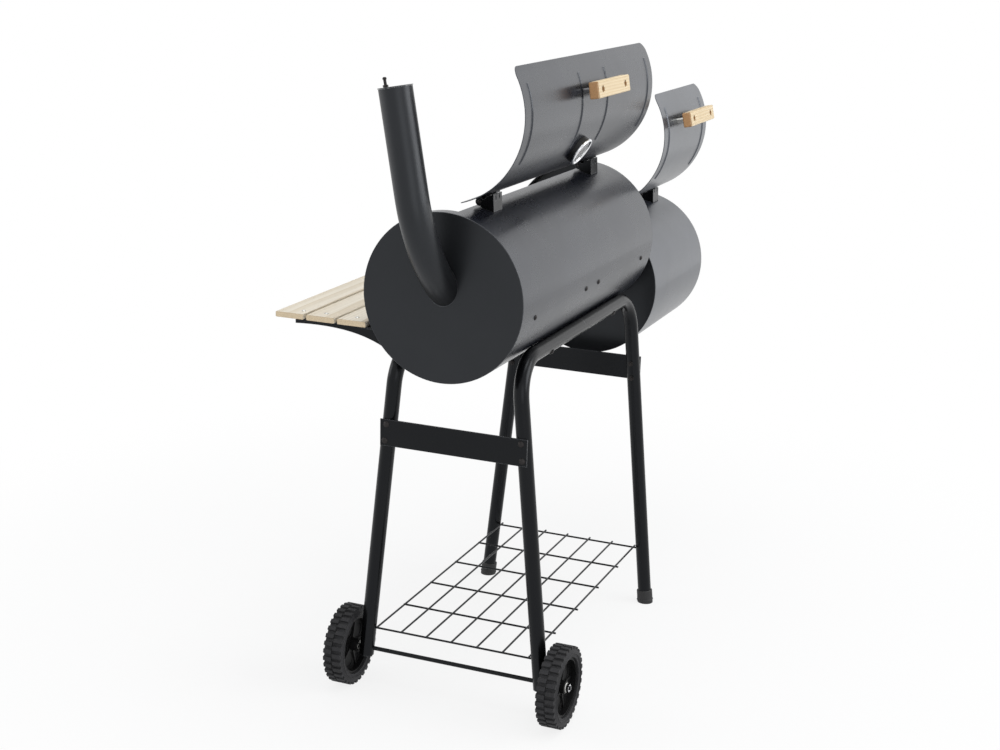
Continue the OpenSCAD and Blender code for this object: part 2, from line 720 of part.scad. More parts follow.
// ---------------------------------------------------------------- hinges
// screws through a bracket's foot: heads inside the barrel, nuts on the bracket
module at_hinge_screws(z, r, mid, off) {
  for (s = [-1, 1], d = [-1, 1])
    radial(mid + s * off + d * (hinge_w / 2 - 11), z, lid_start - 8) translate([0, 0, r]) children();
}
module at_leaf_rivets(z, r, mid, off) {
  for (s = [-1, 1], d = [-1, 1])
    radial(mid + s * off + d * (lid_knuckle_w / 2 - 4), z, lid_start + leaf_a - 3)
      translate([0, 0, r + lid_in]) children();
}
// wedge-shaped bracket on the barrel: foot, two cheeks with knuckles, and the lip the open lid rests on
module hinge_bracket(x, z, r, mid, a) {
  p = [(r + pin_rise) * cos(lid_start), (r + pin_rise) * sin(lid_start)];
  lip_r = r + leaf_out + run_gap;
  lip0 = swung(pol(lip_r + plate / 2, lid_start + lip_a0), p, a);
  lip1 = swung(pol(lip_r + plate / 2, lid_start + lip_a1), p, a);
  foot_mid = r + plate / 2;
  heel = pol(foot_mid, lid_start - leaf_a);
  back = (lip1 - heel) / norm(lip1 - heel);
  inner = plate * [back[1], -back[0]];
  cheek_w = (hinge_w - lid_knuckle_w) / 2 - run_gap;
  difference() {
    union() {
      along_x(x - hinge_w / 2, x + hinge_w / 2, z)
        sector(r + fit_gap / 2, r + plate, lid_start - leaf_a, lid_start - 2.5);
      for (s = [-1, 1]) {
        xk = s > 0 ? x + hinge_w / 2 - cheek_w : x - hinge_w / 2;
        xc = s > 0 ? x + hinge_w / 2 - plate : x - hinge_w / 2;
        along_x(xk, xk + cheek_w, z) translate(p) circle(knuckle_r, $fn = 48);
        along_x(xc, xc + plate, z)
          polygon([p, pol(foot_mid, lid_start - 1.5), heel, lip1, lip0]);
      }
      along_x(x - hinge_w / 2, x + hinge_w / 2, z) translate(p) rotate(-a) translate(-p)
        sector(lip_r, lip_r + plate, lid_start + lip_a0, lid_start + lip_a1);
      along_x(x - hinge_w / 2 + eps, x + hinge_w / 2 - eps, z)
        polygon([heel, lip1, lip1 - inner, heel - inner]);
    }
    along_x(x - hinge_w, x + hinge_w, z) translate(p) circle(pin_d / 2 + fit_gap / 2, $fn = 48);
    at_hinge_screws(z, r, mid, abs(x - mid)) through(hinge_screw_r);
  }
}
module hinge_leaf(x, z, r) {
  p = pol(r + pin_rise, lid_start);
  x0 = x - lid_knuckle_w / 2;
  x1 = x + lid_knuckle_w / 2;
  difference() {
    union() {
      along_x(x0, x1, z) translate(p) circle(knuckle_r, $fn = 48);
      along_x(x0, x1, z) sector(r + lid_out + fit_gap, r + leaf_out, lid_start + 0.2, lid_start + leaf_a);
      along_x(x0, x1, z)
        polygon([p, pol(r + lid_out + fit_gap, lid_start + 0.2), pol(r + leaf_out - 0.2, lid_start + 4.5)]);
    }
    along_x(x0 - eps, x1 + eps, z) translate(p) circle(pin_d / 2 + pin_clear, $fn = 48);
  }
}
module hinge_leaves(z, r, mid, off, pin) {
  swing_open(pin) difference() {
    for (s = [-1, 1]) hinge_leaf(mid + s * off, z, r);
    at_leaf_rivets(z, r, mid, off) through(rivet_r);
  }
}
module leaf_rivets(z, r, mid, off, pin) {
  rise = sag(2 * rivet_r, r + lid_in);
  swing_open(pin) at_leaf_rivets(z, r, mid, off) {
    translate([0, 0, -1.2 - rise]) cylinder(r1 = rivet_r, r2 = rivet_r * 1.8, h = 1.2);
    translate([0, 0, -rise - 0.1]) cylinder(r = rivet_r, h = leaf_out - lid_in + rise + 0.2);
    translate([0, 0, leaf_out - lid_in]) cylinder(r = rivet_r * 1.6, h = run_gap / 2);
  }
}
// headed pins, tapered at the free end
module pins(mid, off, pin) {
  for (s = [-1, 1])
    translate([mid + s * off - hinge_w / 2 - 2, pin[0], pin[1]]) rotate([0, 90, 0]) {
      cylinder(r = pin_d / 2, h = hinge_w + 3.5);
      cylinder(r = pin_d / 2 + 1.5, h = 2 - fit_gap);
      translate([0, 0, hinge_w + 3.5]) cylinder(r1 = pin_d / 2, r2 = pin_d / 2 - 1, h = 1);
    }
}
module hinge_brackets() {
  color([0.07, 0.07, 0.08]) place() for (s = [-1, 1]) {
    hinge_bracket(chamber_mid + s * hinge_off, axis_z, chamber_r, chamber_mid, lid_open);
    hinge_bracket(firebox_mid + s * firebox_hinge_off, firebox_z, firebox_r, firebox_mid, firebox_lid_open);
  }
}
module main_lid_hinge_leaves() {
  color([0.07, 0.07, 0.08]) place() hinge_leaves(axis_z, chamber_r, chamber_mid, hinge_off, main_pin);
}
module firebox_lid_hinge_leaves() {
  color([0.07, 0.07, 0.08]) place()
    hinge_leaves(firebox_z, firebox_r, firebox_mid, firebox_hinge_off, firebox_pin);
}
module main_lid_rivets() {
  color([0.1, 0.1, 0.11]) place() leaf_rivets(axis_z, chamber_r, chamber_mid, hinge_off, main_pin);
}
module firebox_lid_rivets() {
  color([0.1, 0.1, 0.11]) place()
    leaf_rivets(firebox_z, firebox_r, firebox_mid, firebox_hinge_off, firebox_pin);
}
module hinge_pins() {
  color([0.3, 0.3, 0.32]) place() {
    pins(chamber_mid, hinge_off, main_pin);
    pins(firebox_mid, firebox_hinge_off, firebox_pin);
  }
}
module hinge_screws() {
  color([0.3, 0.3, 0.32]) place() {
    at_hinge_screws(axis_z, chamber_r, chamber_mid, hinge_off) hinge_screw(chamber_r - sheet);
    at_hinge_screws(firebox_z, firebox_r, firebox_mid, firebox_hinge_off) hinge_screw(firebox_r - sheet);
  }
}
module hinge_screw(r) {
  rise = sag(2.2 * hinge_screw_r, r);
  translate([0, 0, -sheet - rise]) bolt(hinge_screw_r, sheet + plate + rise);
}

// ---------------------------------------------------------------- handles
module at_handle_screws(z, r, a, mid) {
  for (s = [-1, 1])
    radial(mid + s * handle_pitch / 2, z, a) translate([0, 0, r + lid_out]) children();
}
module handle_bar(z, r, a, mid) {
  c = 1.5;
  h = handle_h / 2;
  radial(mid - handle_l / 2, z, a) translate([0, 0, r + lid_out + handle_gap]) difference() {
    union() {
      translate([c, 0, 0]) rotate([90, 0, 90]) linear_extrude(handle_l - 2 * c)
        translate([-h, 0]) eased(handle_h, handle_t, c);
      translate([0, -h + c, c]) cube([handle_l, handle_h - 2 * c, handle_t - 2 * c]);
    }
    for (s = [-1, 1]) translate([handle_l / 2 + s * handle_pitch / 2, 0, 0]) {
      cylinder(r = handle_screw_r + fit_gap, h = handle_t * 3, center = true);
      translate([0, 0, handle_t - handle_sink]) cylinder(r = handle_screw_r * 2 + 1.5, h = handle_t);
    }
  }
}
// spacer tubes, notched where they meet the lid's ribs
module standoffs(z, r, a, mid, ribs = []) {
  difference() {
    at_handle_screws(z, r, a, mid)
      translate([0, 0, -1]) pipe(standoff_r, handle_screw_r + fit_gap, handle_gap + 1);
    along_x(mid - handle_l, mid + handle_l, z) circle(r + lid_out);
    for (x = ribs)
      rib(x, z, r + lid_out, a - 8, a + 8, bead_r, rib_h - bead_r + fit_gap);
  }
}
module handle_screws(z, r, a, mid) {
  at_handle_screws(z, r, a, mid) translate([0, 0, handle_gap + handle_t - handle_sink]) rotate([180, 0, 0])
    bolt(handle_screw_r, handle_gap + handle_t - handle_sink + sheet + 0.5);
}
module main_handle() {
  color([0.85, 0.68, 0.45]) place() swing_open(main_pin)
    handle_bar(axis_z, chamber_r, main_handle_a, chamber_mid);
}
module main_standoffs() {
  color([0.6, 0.6, 0.62]) place() swing_open(main_pin)
    standoffs(axis_z, chamber_r, main_handle_a, chamber_mid, [chamber_mid - rib_mid, chamber_mid + rib_mid]);
}
module main_handle_screws() {
  color([0.15, 0.15, 0.16]) place() swing_open(main_pin)
    handle_screws(axis_z, chamber_r, main_handle_a, chamber_mid);
}
module firebox_handle() {
  color([0.85, 0.68, 0.45]) place() swing_open(firebox_pin)
    handle_bar(firebox_z, firebox_r, firebox_handle_a, firebox_mid);
}
module firebox_standoffs() {
  color([0.6, 0.6, 0.62]) place() swing_open(firebox_pin)
    standoffs(firebox_z, firebox_r, firebox_handle_a, firebox_mid);
}
module firebox_handle_screws() {
  color([0.15, 0.15, 0.16]) place() swing_open(firebox_pin)
    handle_screws(firebox_z, firebox_r, firebox_handle_a, firebox_mid);
}

// ---------------------------------------------------------------- thermometer
module at_thermo() radial(thermo_x, axis_z, thermo_a) translate([0, 0, chamber_r + lid_out]) children();
module thermometer_case() {
  color([0.05, 0.05, 0.05]) place() swing_open(main_pin) difference() {
    at_thermo() translate([0, 0, -rib_h])
      cylinder(r = thermo_r - case_wall, h = thermo_h - bezel_h - fit_gap + rib_h);
    at_thermo() translate([0, 0, dial_z - dial_t - fit_gap]) cylinder(r = dial_r + fit_gap, h = thermo_h);
    at_thermo() through(stem_r);
    along_x(thermo_x - thermo_d, thermo_x + thermo_d, axis_z) circle(chamber_r + lid_out + fit_gap);
  }
}
module thermometer_bezel() {
  bead_r = (thermo_r - dial_r + 2) / 2;
  color([0.85, 0.85, 0.87]) place() swing_open(main_pin) at_thermo() translate([0, 0, thermo_h - bezel_h])
    rotate_extrude() difference() {
      union() {
        translate([dial_r + fit_gap, 0]) square([thermo_r - dial_r - fit_gap, bezel_h / 2]);
        translate([thermo_r - bead_r, bezel_h / 2]) circle(bead_r, $fn = 32);
      }
      translate([0, -thermo_d]) square([thermo_d, thermo_d]);
      square([dial_r + fit_gap, glass_z + glass_t + fit_gap - thermo_h + bezel_h]);
    }
}
module thermometer_dial() {
  color([0.93, 0.93, 0.92]) place() swing_open(main_pin) at_thermo() {
    difference() {
      translate([0, 0, dial_z - dial_t]) cylinder(r = dial_r, h = dial_t);
      translate([0, 0, dial_z - dial_t - eps]) cylinder(r = pivot_r, h = dial_t + 2 * eps);
    }
  }
}
module thermometer_glass() {
  color([0.8, 0.9, 0.95, 0.3]) place() swing_open(main_pin) at_thermo()
    translate([0, 0, glass_z]) cylinder(r = dial_r, h = glass_t);
}
module thermometer_needle() {
  tip = dial_r - 4;
  color([0.8, 0.1, 0.08]) place() swing_open(main_pin) at_thermo() translate([0, 0, dial_z + run_gap])
    rotate([0, 0, needle_rest]) difference() {
      union() {
        cylinder(r = 2.6, h = needle_t + 0.4);
        linear_extrude(needle_t) polygon([[0, -1.2], [tip, -0.25], [tip, 0.25], [0, 1.2]]);
        // broad tail that balances the pointer
        linear_extrude(needle_t) polygon([[0, -1.2], [-tip * 0.45, -2.4], [-tip * 0.45, 2.4], [0, 1.2]]);
      }
      translate([0, 0, -eps]) cylinder(r = pivot_r + pin_clear, h = 4);
    }
}
// stem with the needle's pivot on top and the clamping nut inside the lid
module thermometer_stem() {
  color([0.7, 0.7, 0.72]) place() swing_open(main_pin) at_thermo() {
    translate([0, 0, -stem_l]) cylinder(r = stem_r, h = stem_l + dial_z - dial_t - fit_gap);
    cylinder(r = pivot_r, h = dial_z + run_gap + needle_t + 0.5);
    translate([0, 0, -sheet - 5 - run_gap]) cylinder(r = 9, h = 5, $fn = 6);
  }
}

// ---------------------------------------------------------------- frame
// s: 1 rear, -1 front; local Z runs up the leaning leg
module leaning(s) translate([0, s * foot_y, 0]) rotate([s * splay_a, 0, 0]) children();
module leg_tube(low) {
  bore = tube_r - tube_wall;
  h = top_z / cos(splay_a);
  translate([0, 0, low]) pipe(tube_r, bore, h - bend_r - low);
  translate([-bend_r, 0, h - bend_r]) rotate([90, 0, 0]) rotate_extrude(angle = 90)
    translate([bend_r, 0]) difference() {
      circle(tube_r);
      circle(bore);
    }
  translate([frame_mid, 0, h]) rotate([0, 90, 0]) pipe(tube_r, bore, -frame_mid - bend_r);
}
// holes for every bolt, wire and shaft that passes through the frame tubes
module frame_holes() {
  at_cross_bolts() through(frame_bolt_r);
  at_saddle_bolts() through(saddle_r);
  translate([0, 0, axle_z]) rotate([90, 0, 0])
    cylinder(r = axle_r + fit_gap, h = 2 * axle_end, center = true);
  for (x = [0, -frame_len]) translate([x, 0, shelf_z]) rotate([90, 0, 0])
    cylinder(r = shelf_wire / 2 + fit_gap, h = 2 * (foot_y - splay * shelf_z), center = true, $fn = 32);
}
module chimney_leg(s) {
  color([0.06, 0.06, 0.06]) place() difference() {
    leaning(s) leg_tube(leg_low);
    frame_holes();
  }
}
module firebox_leg(s) {
  color([0.06, 0.06, 0.06]) place() difference() {
    translate([2 * frame_mid, 0, 0]) mirror([1, 0, 0]) leaning(s) {
      leg_tube(foot_floor + fit_gap);
      // swaged end that enters the other half
      translate([frame_mid - spigot_len, 0, top_z / cos(splay_a)]) rotate([0, 90, 0])
        pipe(tube_r - tube_wall - fit_gap, tube_r - 2 * tube_wall - fit_gap, spigot_len + 30);
      translate([frame_mid + 10, 0, top_z / cos(splay_a)]) rotate([0, 90, 0])
        pipe(tube_r - tube_wall + fit_gap, tube_r - 2 * tube_wall, 20);
    }
    frame_holes();
  }
}
module leg_front_chimney() chimney_leg(-1);
module leg_rear_chimney() chimney_leg(1);
module leg_front_firebox() firebox_leg(-1);
module leg_rear_firebox() firebox_leg(1);
// local Z from the tube's outer side towards the barrel's axis
module at_saddle_bolts() {
  for (s = [-1, 1], d = [-1, 1])
    translate([frame_mid + d * saddle_off, s * top_y, top_z]) rotate([s * (saddle_a - 90), 0, 0])
      translate([0, 0, -tube_r]) children();
}
module saddle_bolts() {
  color([0.12, 0.12, 0.13]) place() at_saddle_bolts()
    bolt(saddle_r, tube_d + run_gap + sheet, bow = inner_r);
}
// local Z from the plate's outer face into the leg
module at_cross_bolts() {
  for (s = [-1, 1], z = [brace_z - brace_pitch / 2, brace_z + brace_pitch / 2]) {
    y = s * (foot_y - splay * z);
    translate([tube_r + plate, y, z]) rotate([0, -90, 0]) children();
    translate([-frame_len - tube_r - plate, y, z]) rotate([0, 90, 0]) children();
  }
}
module cross_plate(x) {
  y = foot_y - splay * (brace_z - brace_pitch / 2) + 9;
  color([0.06, 0.06, 0.06]) place() difference() {
    translate([x, -y, brace_z - brace_h / 2]) cube([plate, 2 * y, brace_h]);
    at_cross_bolts() through(frame_bolt_r);
  }
}
module cross_plate_chimney() cross_plate(tube_r);
module cross_plate_firebox() cross_plate(-frame_len - tube_r - plate);
module cross_plate_bolts() {
  color([0.12, 0.12, 0.13]) place() at_cross_bolts() bolt(frame_bolt_r, plate + tube_d);
}
module foot_caps() {
  cap = tube_r + 2.5;
  color([0.04, 0.04, 0.04]) place() intersection() {
    union() for (s = [-1, 1]) translate([-frame_len, 0, 0]) leaning(s) difference() {
      union() {
        translate([0, 0, -8]) cylinder(r = cap, h = foot_cap_h + 8);
        translate([0, 0, foot_cap_h]) cylinder(r1 = cap, r2 = cap - 1.5, h = 2);
        translate([0, 0, 3]) cylinder(r1 = cap, r2 = cap + 1, h = 3);
        translate([0, 0, 6]) cylinder(r1 = cap + 1, r2 = cap, h = 3);
      }
      translate([0, 0, foot_floor]) cylinder(r = tube_r + fit_gap, h = foot_cap_h);
    }
    translate([-big, -big / 2, 0]) cube([2 * big, big, big]);
  }
}

// ---------------------------------------------------------------- wire shelf
module wire_shelf() {
  r = shelf_wire / 2;
  lift = shelf_wire * 0.8;
  half = 3 * shelf_pitch_y;
  leg_y = foot_y - splay * shelf_z - tube_r / 2;
  color([0.06, 0.06, 0.06]) place() {
    for (i = [0:shelf_cells]) {
      x = -frame_len * i / shelf_cells;
      reach = i == 0 || i == shelf_cells ? leg_y : half + 5;
      rod([x, -reach, shelf_z], [x, reach, shelf_z], r);
    }
    for (k = [-3:3])
      rod([-frame_len - 4, k * shelf_pitch_y, shelf_z + lift], [4, k * shelf_pitch_y, shelf_z + lift], r);
  }
}

// ---------------------------------------------------------------- wheels
module axle() {
  color([0.25, 0.25, 0.26]) place() translate([0, 0, axle_z]) rotate([90, 0, 0])
    cylinder(r = axle_r, h = 2 * axle_end, center = true);
}
// s: 1 rear, -1 front; local Z runs out along the axle
module on_axle(s) translate([0, 0, axle_z]) rotate([-90 * s, 0, 0]) children();
module axle_washers() {
  color([0.75, 0.75, 0.77]) place() for (s = [-1, 1], y = [inner_washer_y, outer_washer_y])
    on_axle(s) translate([0, 0, y]) pipe(washer_r, axle_r + fit_gap, washer_t);
}
module axle_nuts() {
  color([0.75, 0.75, 0.77]) place() for (s = [-1, 1])
    on_axle(s) translate([0, 0, outer_washer_y + washer_t]) difference() {
      cylinder(r = axle_r * 1.9, h = nut_h, $fn = 6);
      translate([0, 0, -eps]) cylinder(r = axle_r + fit_gap / 2, h = nut_h + 2 * eps);
    }
}
// one row of tread blocks, as a toothed outline
module tread_row(h, turn) {
  p = 360 / tread_count;
  root = wheel_r - tread_h - 1;
  rotate([0, 0, turn]) linear_extrude(h) polygon([for (i = [0:tread_count - 1], q = [0:3])
    pol(q == 0 || q == 3 ? root : wheel_r, (i + [0, 0.08, 0.58, 0.66][q]) * p)]);
}
module tyre_profile() {
  w = wheel_w / 2;
  r = wheel_r - tread_h;
  side = [[rim_r, w - 6], [rim_r + 3, w - 2], [rim_r + 6, w], [r - 6, w], [r - 1.5, w - 2], [r, w - 6]];
  polygon(concat([for (q = side) [q[0], -q[1]]], [for (i = [5:-1:0]) side[i]]));
}
module tyre() {
  difference() {
    union() {
      rotate_extrude() tyre_profile();
      translate([0, 0, -wheel_w / 2 + 1.5]) tread_row(wheel_w / 2 - 2.5, 0);
      translate([0, 0, 1]) tread_row(wheel_w / 2 - 2.5, 180 / tread_count);
      // moulded bead round each side wall
      for (s = [-1, 1]) translate([0, 0, s * wheel_w / 2])
        rotate_extrude() translate([wheel_r - tread_h - 9, 0]) circle(1.2, $fn = 16);
    }
    translate([0, 0, -wheel_w]) cylinder(r = rim_r, h = 2 * wheel_w);
  }
}
// hub with a dished web, windows between its spokes and a boss on the axle
module hub() {
  rim_w = wheel_w - 10;
  web_t = 5;
  boss_low = hub_y0 - wheel_y;
  boss_high = hub_y1 - wheel_y;
  win_r = (rim_r - 6 + hub_boss) / 2;
  win_h = (rim_r - 6 - hub_boss) / 2 - 4;
  win_a = 360 / hub_windows / 2 - asin(win_h / win_r) - 7;
  difference() {
    union() {
      translate([0, 0, -rim_w / 2]) pipe(rim_r - fit_gap, rim_r - 5, rim_w);
      translate([0, 0, -web_t / 2]) cylinder(r = rim_r - 4, h = web_t);
      translate([0, 0, boss_low]) cylinder(r = hub_boss, h = boss_high - boss_low);
      // raised ribs along the spokes
      for (i = [0:hub_windows - 1]) rotate([0, 0, (i + 0.5) * 360 / hub_windows])
        translate([hub_boss - 2, -2, -web_t]) cube([rim_r - 4 - hub_boss, 4, 2 * web_t]);
    }
    for (i = [0:hub_windows - 1])
      rotate([0, 0, i * 360 / hub_windows]) translate([0, 0, -web_t]) linear_extrude(2 * web_t) {
        sector(win_r - win_h, win_r + win_h, -win_a, win_a);
        for (s = [-1, 1]) translate(pol(win_r, s * win_a)) circle(win_h, $fn = 32);
      }
    translate([0, 0, -wheel_w]) cylinder(r = axle_r + pin_clear, h = 2 * wheel_w);
  }
}
module tyre_front() color([0.05, 0.05, 0.05]) place() on_axle(-1) translate([0, 0, wheel_y]) tyre();
module tyre_rear() color([0.05, 0.05, 0.05]) place() on_axle(1) translate([0, 0, wheel_y]) tyre();
module hub_front() color([0.08, 0.08, 0.08]) place() on_axle(-1) translate([0, 0, wheel_y]) hub();
module hub_rear() color([0.08, 0.08, 0.08]) place() on_axle(1) translate([0, 0, wheel_y]) hub();

// ---------------------------------------------------------------- side shelf
module shelf_slats() {
  c = 1.2;
  color([0.9, 0.76, 0.56]) place() difference() {
    for (i = [0:2])
      translate([chamber_mid - slat_len / 2, slat_y0 + i * slat_step, slat_low])
        rotate([90, 0, 90]) linear_extrude(slat_len) eased(slat_w, slat_t, c);
    at_slat_screws() through(slat_screw_r);
  }
}
// local Z down through slat and bracket
module at_slat_screws() {
  for (x = bracket_x, i = [0:2])
    translate([x + bracket_w / 2 + 3, slat_y0 + slat_screw_y[i], slat_top]) rotate([180, 0, 0]) children();
}
module at_bracket_bolts() {
  for (x = bracket_x, a = [bracket_a0 + 4, bracket_a1 - 3])
    radial(x + (bracket_w + plate) / 2, axis_z, a)
      translate([0, 0, chamber_r]) rotate([180, 0, 0]) children();
}
// gusset: a web that sweeps from the barrel out under the slats, with a flange along both edges
module shelf_bracket(x) {
  y0 = slat_y0 + bracket_reach;
  z0 = slat_low - axis_z;
  tip = [y0, z0 - bracket_tip];
  root = pol(chamber_r + 1, bracket_a1);
  mid = [(tip[0] + root[0]) / 2 + 8, z0 - bracket_tip - 8];
  side = [-chamber_side(axis_z - slat_low), z0];
  sweep = [for (i = [0:10]) bezier(tip, mid, root, i / 10)];
  along_x(x, x + plate, axis_z) difference() {
    polygon(concat([[y0, z0]], sweep, [for (a = [bracket_a1, bracket_a0]) pol(chamber_r - 10, a)], [side]));
    circle(chamber_r + fit_gap);
  }
  translate([x, y0, slat_low - plate]) cube([bracket_w, side[0] - 3 - y0, plate]);
  along_x(x, x + bracket_w, axis_z)
    sector(chamber_r + fit_gap, chamber_r + plate, bracket_a0 + 1, bracket_a1);
}
module shelf_brackets() {
  color([0.06, 0.06, 0.06]) place() difference() {
    for (x = bracket_x) shelf_bracket(x);
    at_slat_screws() through(slat_screw_r);
    at_bracket_bolts() through(bracket_bolt_r);
  }
}
// slat screws and the bolts that hold the brackets to the barrel
module shelf_screws() {
  color([0.6, 0.6, 0.62]) place() {
    at_slat_screws() bolt(slat_screw_r, slat_t + plate);
    at_bracket_bolts() translate([0, 0, -plate]) bolt(bracket_bolt_r, plate + sheet, bow = inner_r);
  }
}

chamber_shell();
chamber_end_chimney();
chamber_end_firebox();
smoke_collar();
collar_bolts();
grate_rails();
rail_screws();
cooking_grate_chimney();
cooking_grate_firebox();
firebox_shell();
firebox_end_inner();
firebox_end_outer();
vent_disc();
vent_knob();
vent_pivot();
fire_grate();
chimney_pipe();
chimney_cap();
cap_bolt();
main_lid();
main_lid_hinge_leaves();
main_lid_rivets();
hinge_brackets();
hinge_pins();
hinge_screws();
main_handle();
main_standoffs();
main_handle_screws();
thermometer_case();
thermometer_bezel();
thermometer_dial();
thermometer_glass();
thermometer_needle();
thermometer_stem();
firebox_lid();
firebox_lid_hinge_leaves();
firebox_lid_rivets();
firebox_handle();
firebox_standoffs();
firebox_handle_screws();
leg_front_chimney();
leg_rear_chimney();
leg_front_firebox();
leg_rear_firebox();
saddle_bolts();
cross_plate_chimney();
cross_plate_firebox();
cross_plate_bolts();
foot_caps();
wire_shelf();
axle();
axle_nuts();
axle_washers();
tyre_front();
tyre_rear();
hub_front();
hub_rear();
shelf_slats();
shelf_brackets();
shelf_screws();
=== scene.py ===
"""Studio scene of the offset smoker.

Gives every part its finish, prints the thermometer's scale, adds the forms that the solids lack, and sets up
the floor, lamps and camera. Lengths are in metres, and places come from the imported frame.
"""

import json
import math

import bmesh
import bpy
from mathutils import Matrix, Vector


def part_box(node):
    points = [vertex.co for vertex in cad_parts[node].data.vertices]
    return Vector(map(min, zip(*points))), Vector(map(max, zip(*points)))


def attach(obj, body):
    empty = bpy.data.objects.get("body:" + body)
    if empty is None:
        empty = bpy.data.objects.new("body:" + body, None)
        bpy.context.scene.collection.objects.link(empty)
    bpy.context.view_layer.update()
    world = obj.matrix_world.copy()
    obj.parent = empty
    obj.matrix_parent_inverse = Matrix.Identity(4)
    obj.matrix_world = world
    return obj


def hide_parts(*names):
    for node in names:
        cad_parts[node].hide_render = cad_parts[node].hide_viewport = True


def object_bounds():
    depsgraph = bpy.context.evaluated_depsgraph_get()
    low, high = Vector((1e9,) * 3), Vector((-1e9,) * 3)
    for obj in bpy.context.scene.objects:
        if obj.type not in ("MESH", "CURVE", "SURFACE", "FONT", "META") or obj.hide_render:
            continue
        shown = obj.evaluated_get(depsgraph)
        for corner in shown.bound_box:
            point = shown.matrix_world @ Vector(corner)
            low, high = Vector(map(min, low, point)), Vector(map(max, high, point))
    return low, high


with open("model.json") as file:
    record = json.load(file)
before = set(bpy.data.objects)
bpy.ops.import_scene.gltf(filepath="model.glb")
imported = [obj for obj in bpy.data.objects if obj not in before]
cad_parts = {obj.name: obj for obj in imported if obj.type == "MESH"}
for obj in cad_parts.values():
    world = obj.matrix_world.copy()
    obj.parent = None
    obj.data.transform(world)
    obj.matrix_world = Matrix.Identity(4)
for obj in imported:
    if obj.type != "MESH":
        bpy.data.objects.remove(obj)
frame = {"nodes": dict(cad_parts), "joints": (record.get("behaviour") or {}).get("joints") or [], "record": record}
CAD_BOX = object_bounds()
NODES = frame["nodes"]
SLOTS = {part["node"]: part["material_slot"] for part in frame["record"]["subparts"]}


# ---------------------------------------------------------------- node materials

class Finish:
    """One node material around a Principled shader. Each method adds a node and returns its output."""

    def __init__(self, name):
        self.material = bpy.data.materials.new(name)
        self.material.use_nodes = True
        self.tree = self.material.node_tree
        self.tree.nodes.clear()
        self.shader = self.node("ShaderNodeBsdfPrincipled")
        output = self.node("ShaderNodeOutputMaterial")
        self.tree.links.new(self.shader.outputs["BSDF"], output.inputs["Surface"])
        coords = self.node("ShaderNodeTexCoord")
        self.point = coords.outputs["Object"]
        self.facing = coords.outputs["Normal"]

    def node(self, kind, inputs=None, **settings):
        new = self.tree.nodes.new(kind)
        for key, value in settings.items():
            setattr(new, key, value)
        for key, value in (inputs or {}).items():
            self.feed(new.inputs[key], value)
        return new

    def feed(self, socket, value):
        if isinstance(value, bpy.types.NodeSocket):
            self.tree.links.new(value, socket)
        else:
            socket.default_value = value

    def set(self, **values):
        """Sets or links the shader's own sockets: base_color becomes Base Color."""
        names = {"ior": "IOR", "specular": "Specular IOR Level", "coat": "Coat Weight",
                 "coat_roughness": "Coat Roughness", "transmission": "Transmission Weight"}
        for key, value in values.items():
            self.feed(self.shader.inputs[names.get(key, key.replace("_", " ").title())], value)

    def math(self, operation, a, b=0.0, clamp=False):
        return self.node("ShaderNodeMath", {0: a, 1: b}, operation=operation, use_clamp=clamp).outputs[0]

    def vector_math(self, operation, a, b, output="Vector"):
        return self.node("ShaderNodeVectorMath", {0: a, 1: b}, operation=operation).outputs[output]

    def stretched(self, scale, at=None):
        return self.node("ShaderNodeMapping", {"Vector": at or self.point, "Scale": scale}).outputs[0]

    def noise(self, scale, detail=2.0, roughness=0.5, distortion=0.0, at=None):
        inputs = {"Vector": at or self.point, "Scale": scale, "Detail": detail,
                  "Roughness": roughness, "Distortion": distortion}
        return self.node("ShaderNodeTexNoise", inputs).outputs["Fac"]

    def span(self, value, low, high, start=0.0, end=1.0):
        """Maps low..high to start..end and stops there."""
        return self.node("ShaderNodeMapRange", {"Value": value, "From Min": low, "From Max": high,
                                                "To Min": start, "To Max": end}).outputs["Result"]

    def mix(self, amount, a, b):
        """The colour a where amount is 0, b where it is 1."""
        new = self.node("ShaderNodeMix", data_type="RGBA")
        for index, value in ((0, amount), (6, a), (7, b)):
            self.feed(new.inputs[index], value)
        return new.outputs[2]

    def axis(self, vector, name):
        return self.node("ShaderNodeSeparateXYZ", {0: vector}).outputs[name]

    def soft_edges(self, radius):
        return self.node("ShaderNodeBevel", {"Radius": radius}, samples=4).outputs[0]

    def edge_mask(self, radius, low=0.02, high=0.25):
        """1 along sharp edges and 0 on open faces."""
        true = self.node("ShaderNodeNewGeometry").outputs["Normal"]
        dot = self.vector_math("DOT_PRODUCT", self.soft_edges(radius), true, "Value")
        return self.span(self.math("SUBTRACT", 1.0, dot), low, high)

    def bump(self, height, depth, normal=None, strength=1.0):
        inputs = {"Height": height, "Distance": depth, "Strength": strength}
        if normal is not None:
            inputs["Normal"] = normal
        return self.node("ShaderNodeBump", inputs).outputs[0]


def rgb(red, green, blue):
    """An sRGB colour of 0 to 255 as linear numbers."""
    def linear(value):
        value /= 255
        return value / 12.92 if value <= 0.04045 else ((value + 0.055) / 1.055) ** 2.4
    return (linear(red), linear(green), linear(blue), 1.0)


def scaled(colour, factor):
    return tuple(min(1.0, channel * factor) for channel in colour[:3]) + (1.0,)


WHITE = (1.0, 1.0, 1.0, 1.0)
DUST = rgb(98, 97, 95)
ROAD_DUST = rgb(96, 92, 86)
ASH = rgb(128, 124, 118)
GREASE_HAZE = rgb(206, 208, 204)
WORN_FILM_AND_RIM_HIGHLIGHT = rgb(134, 136, 140)
# pale grey for coat edges: partly worn film, partly a painted highlight along the rims
WORN_RUBBER = rgb(70, 69, 67)


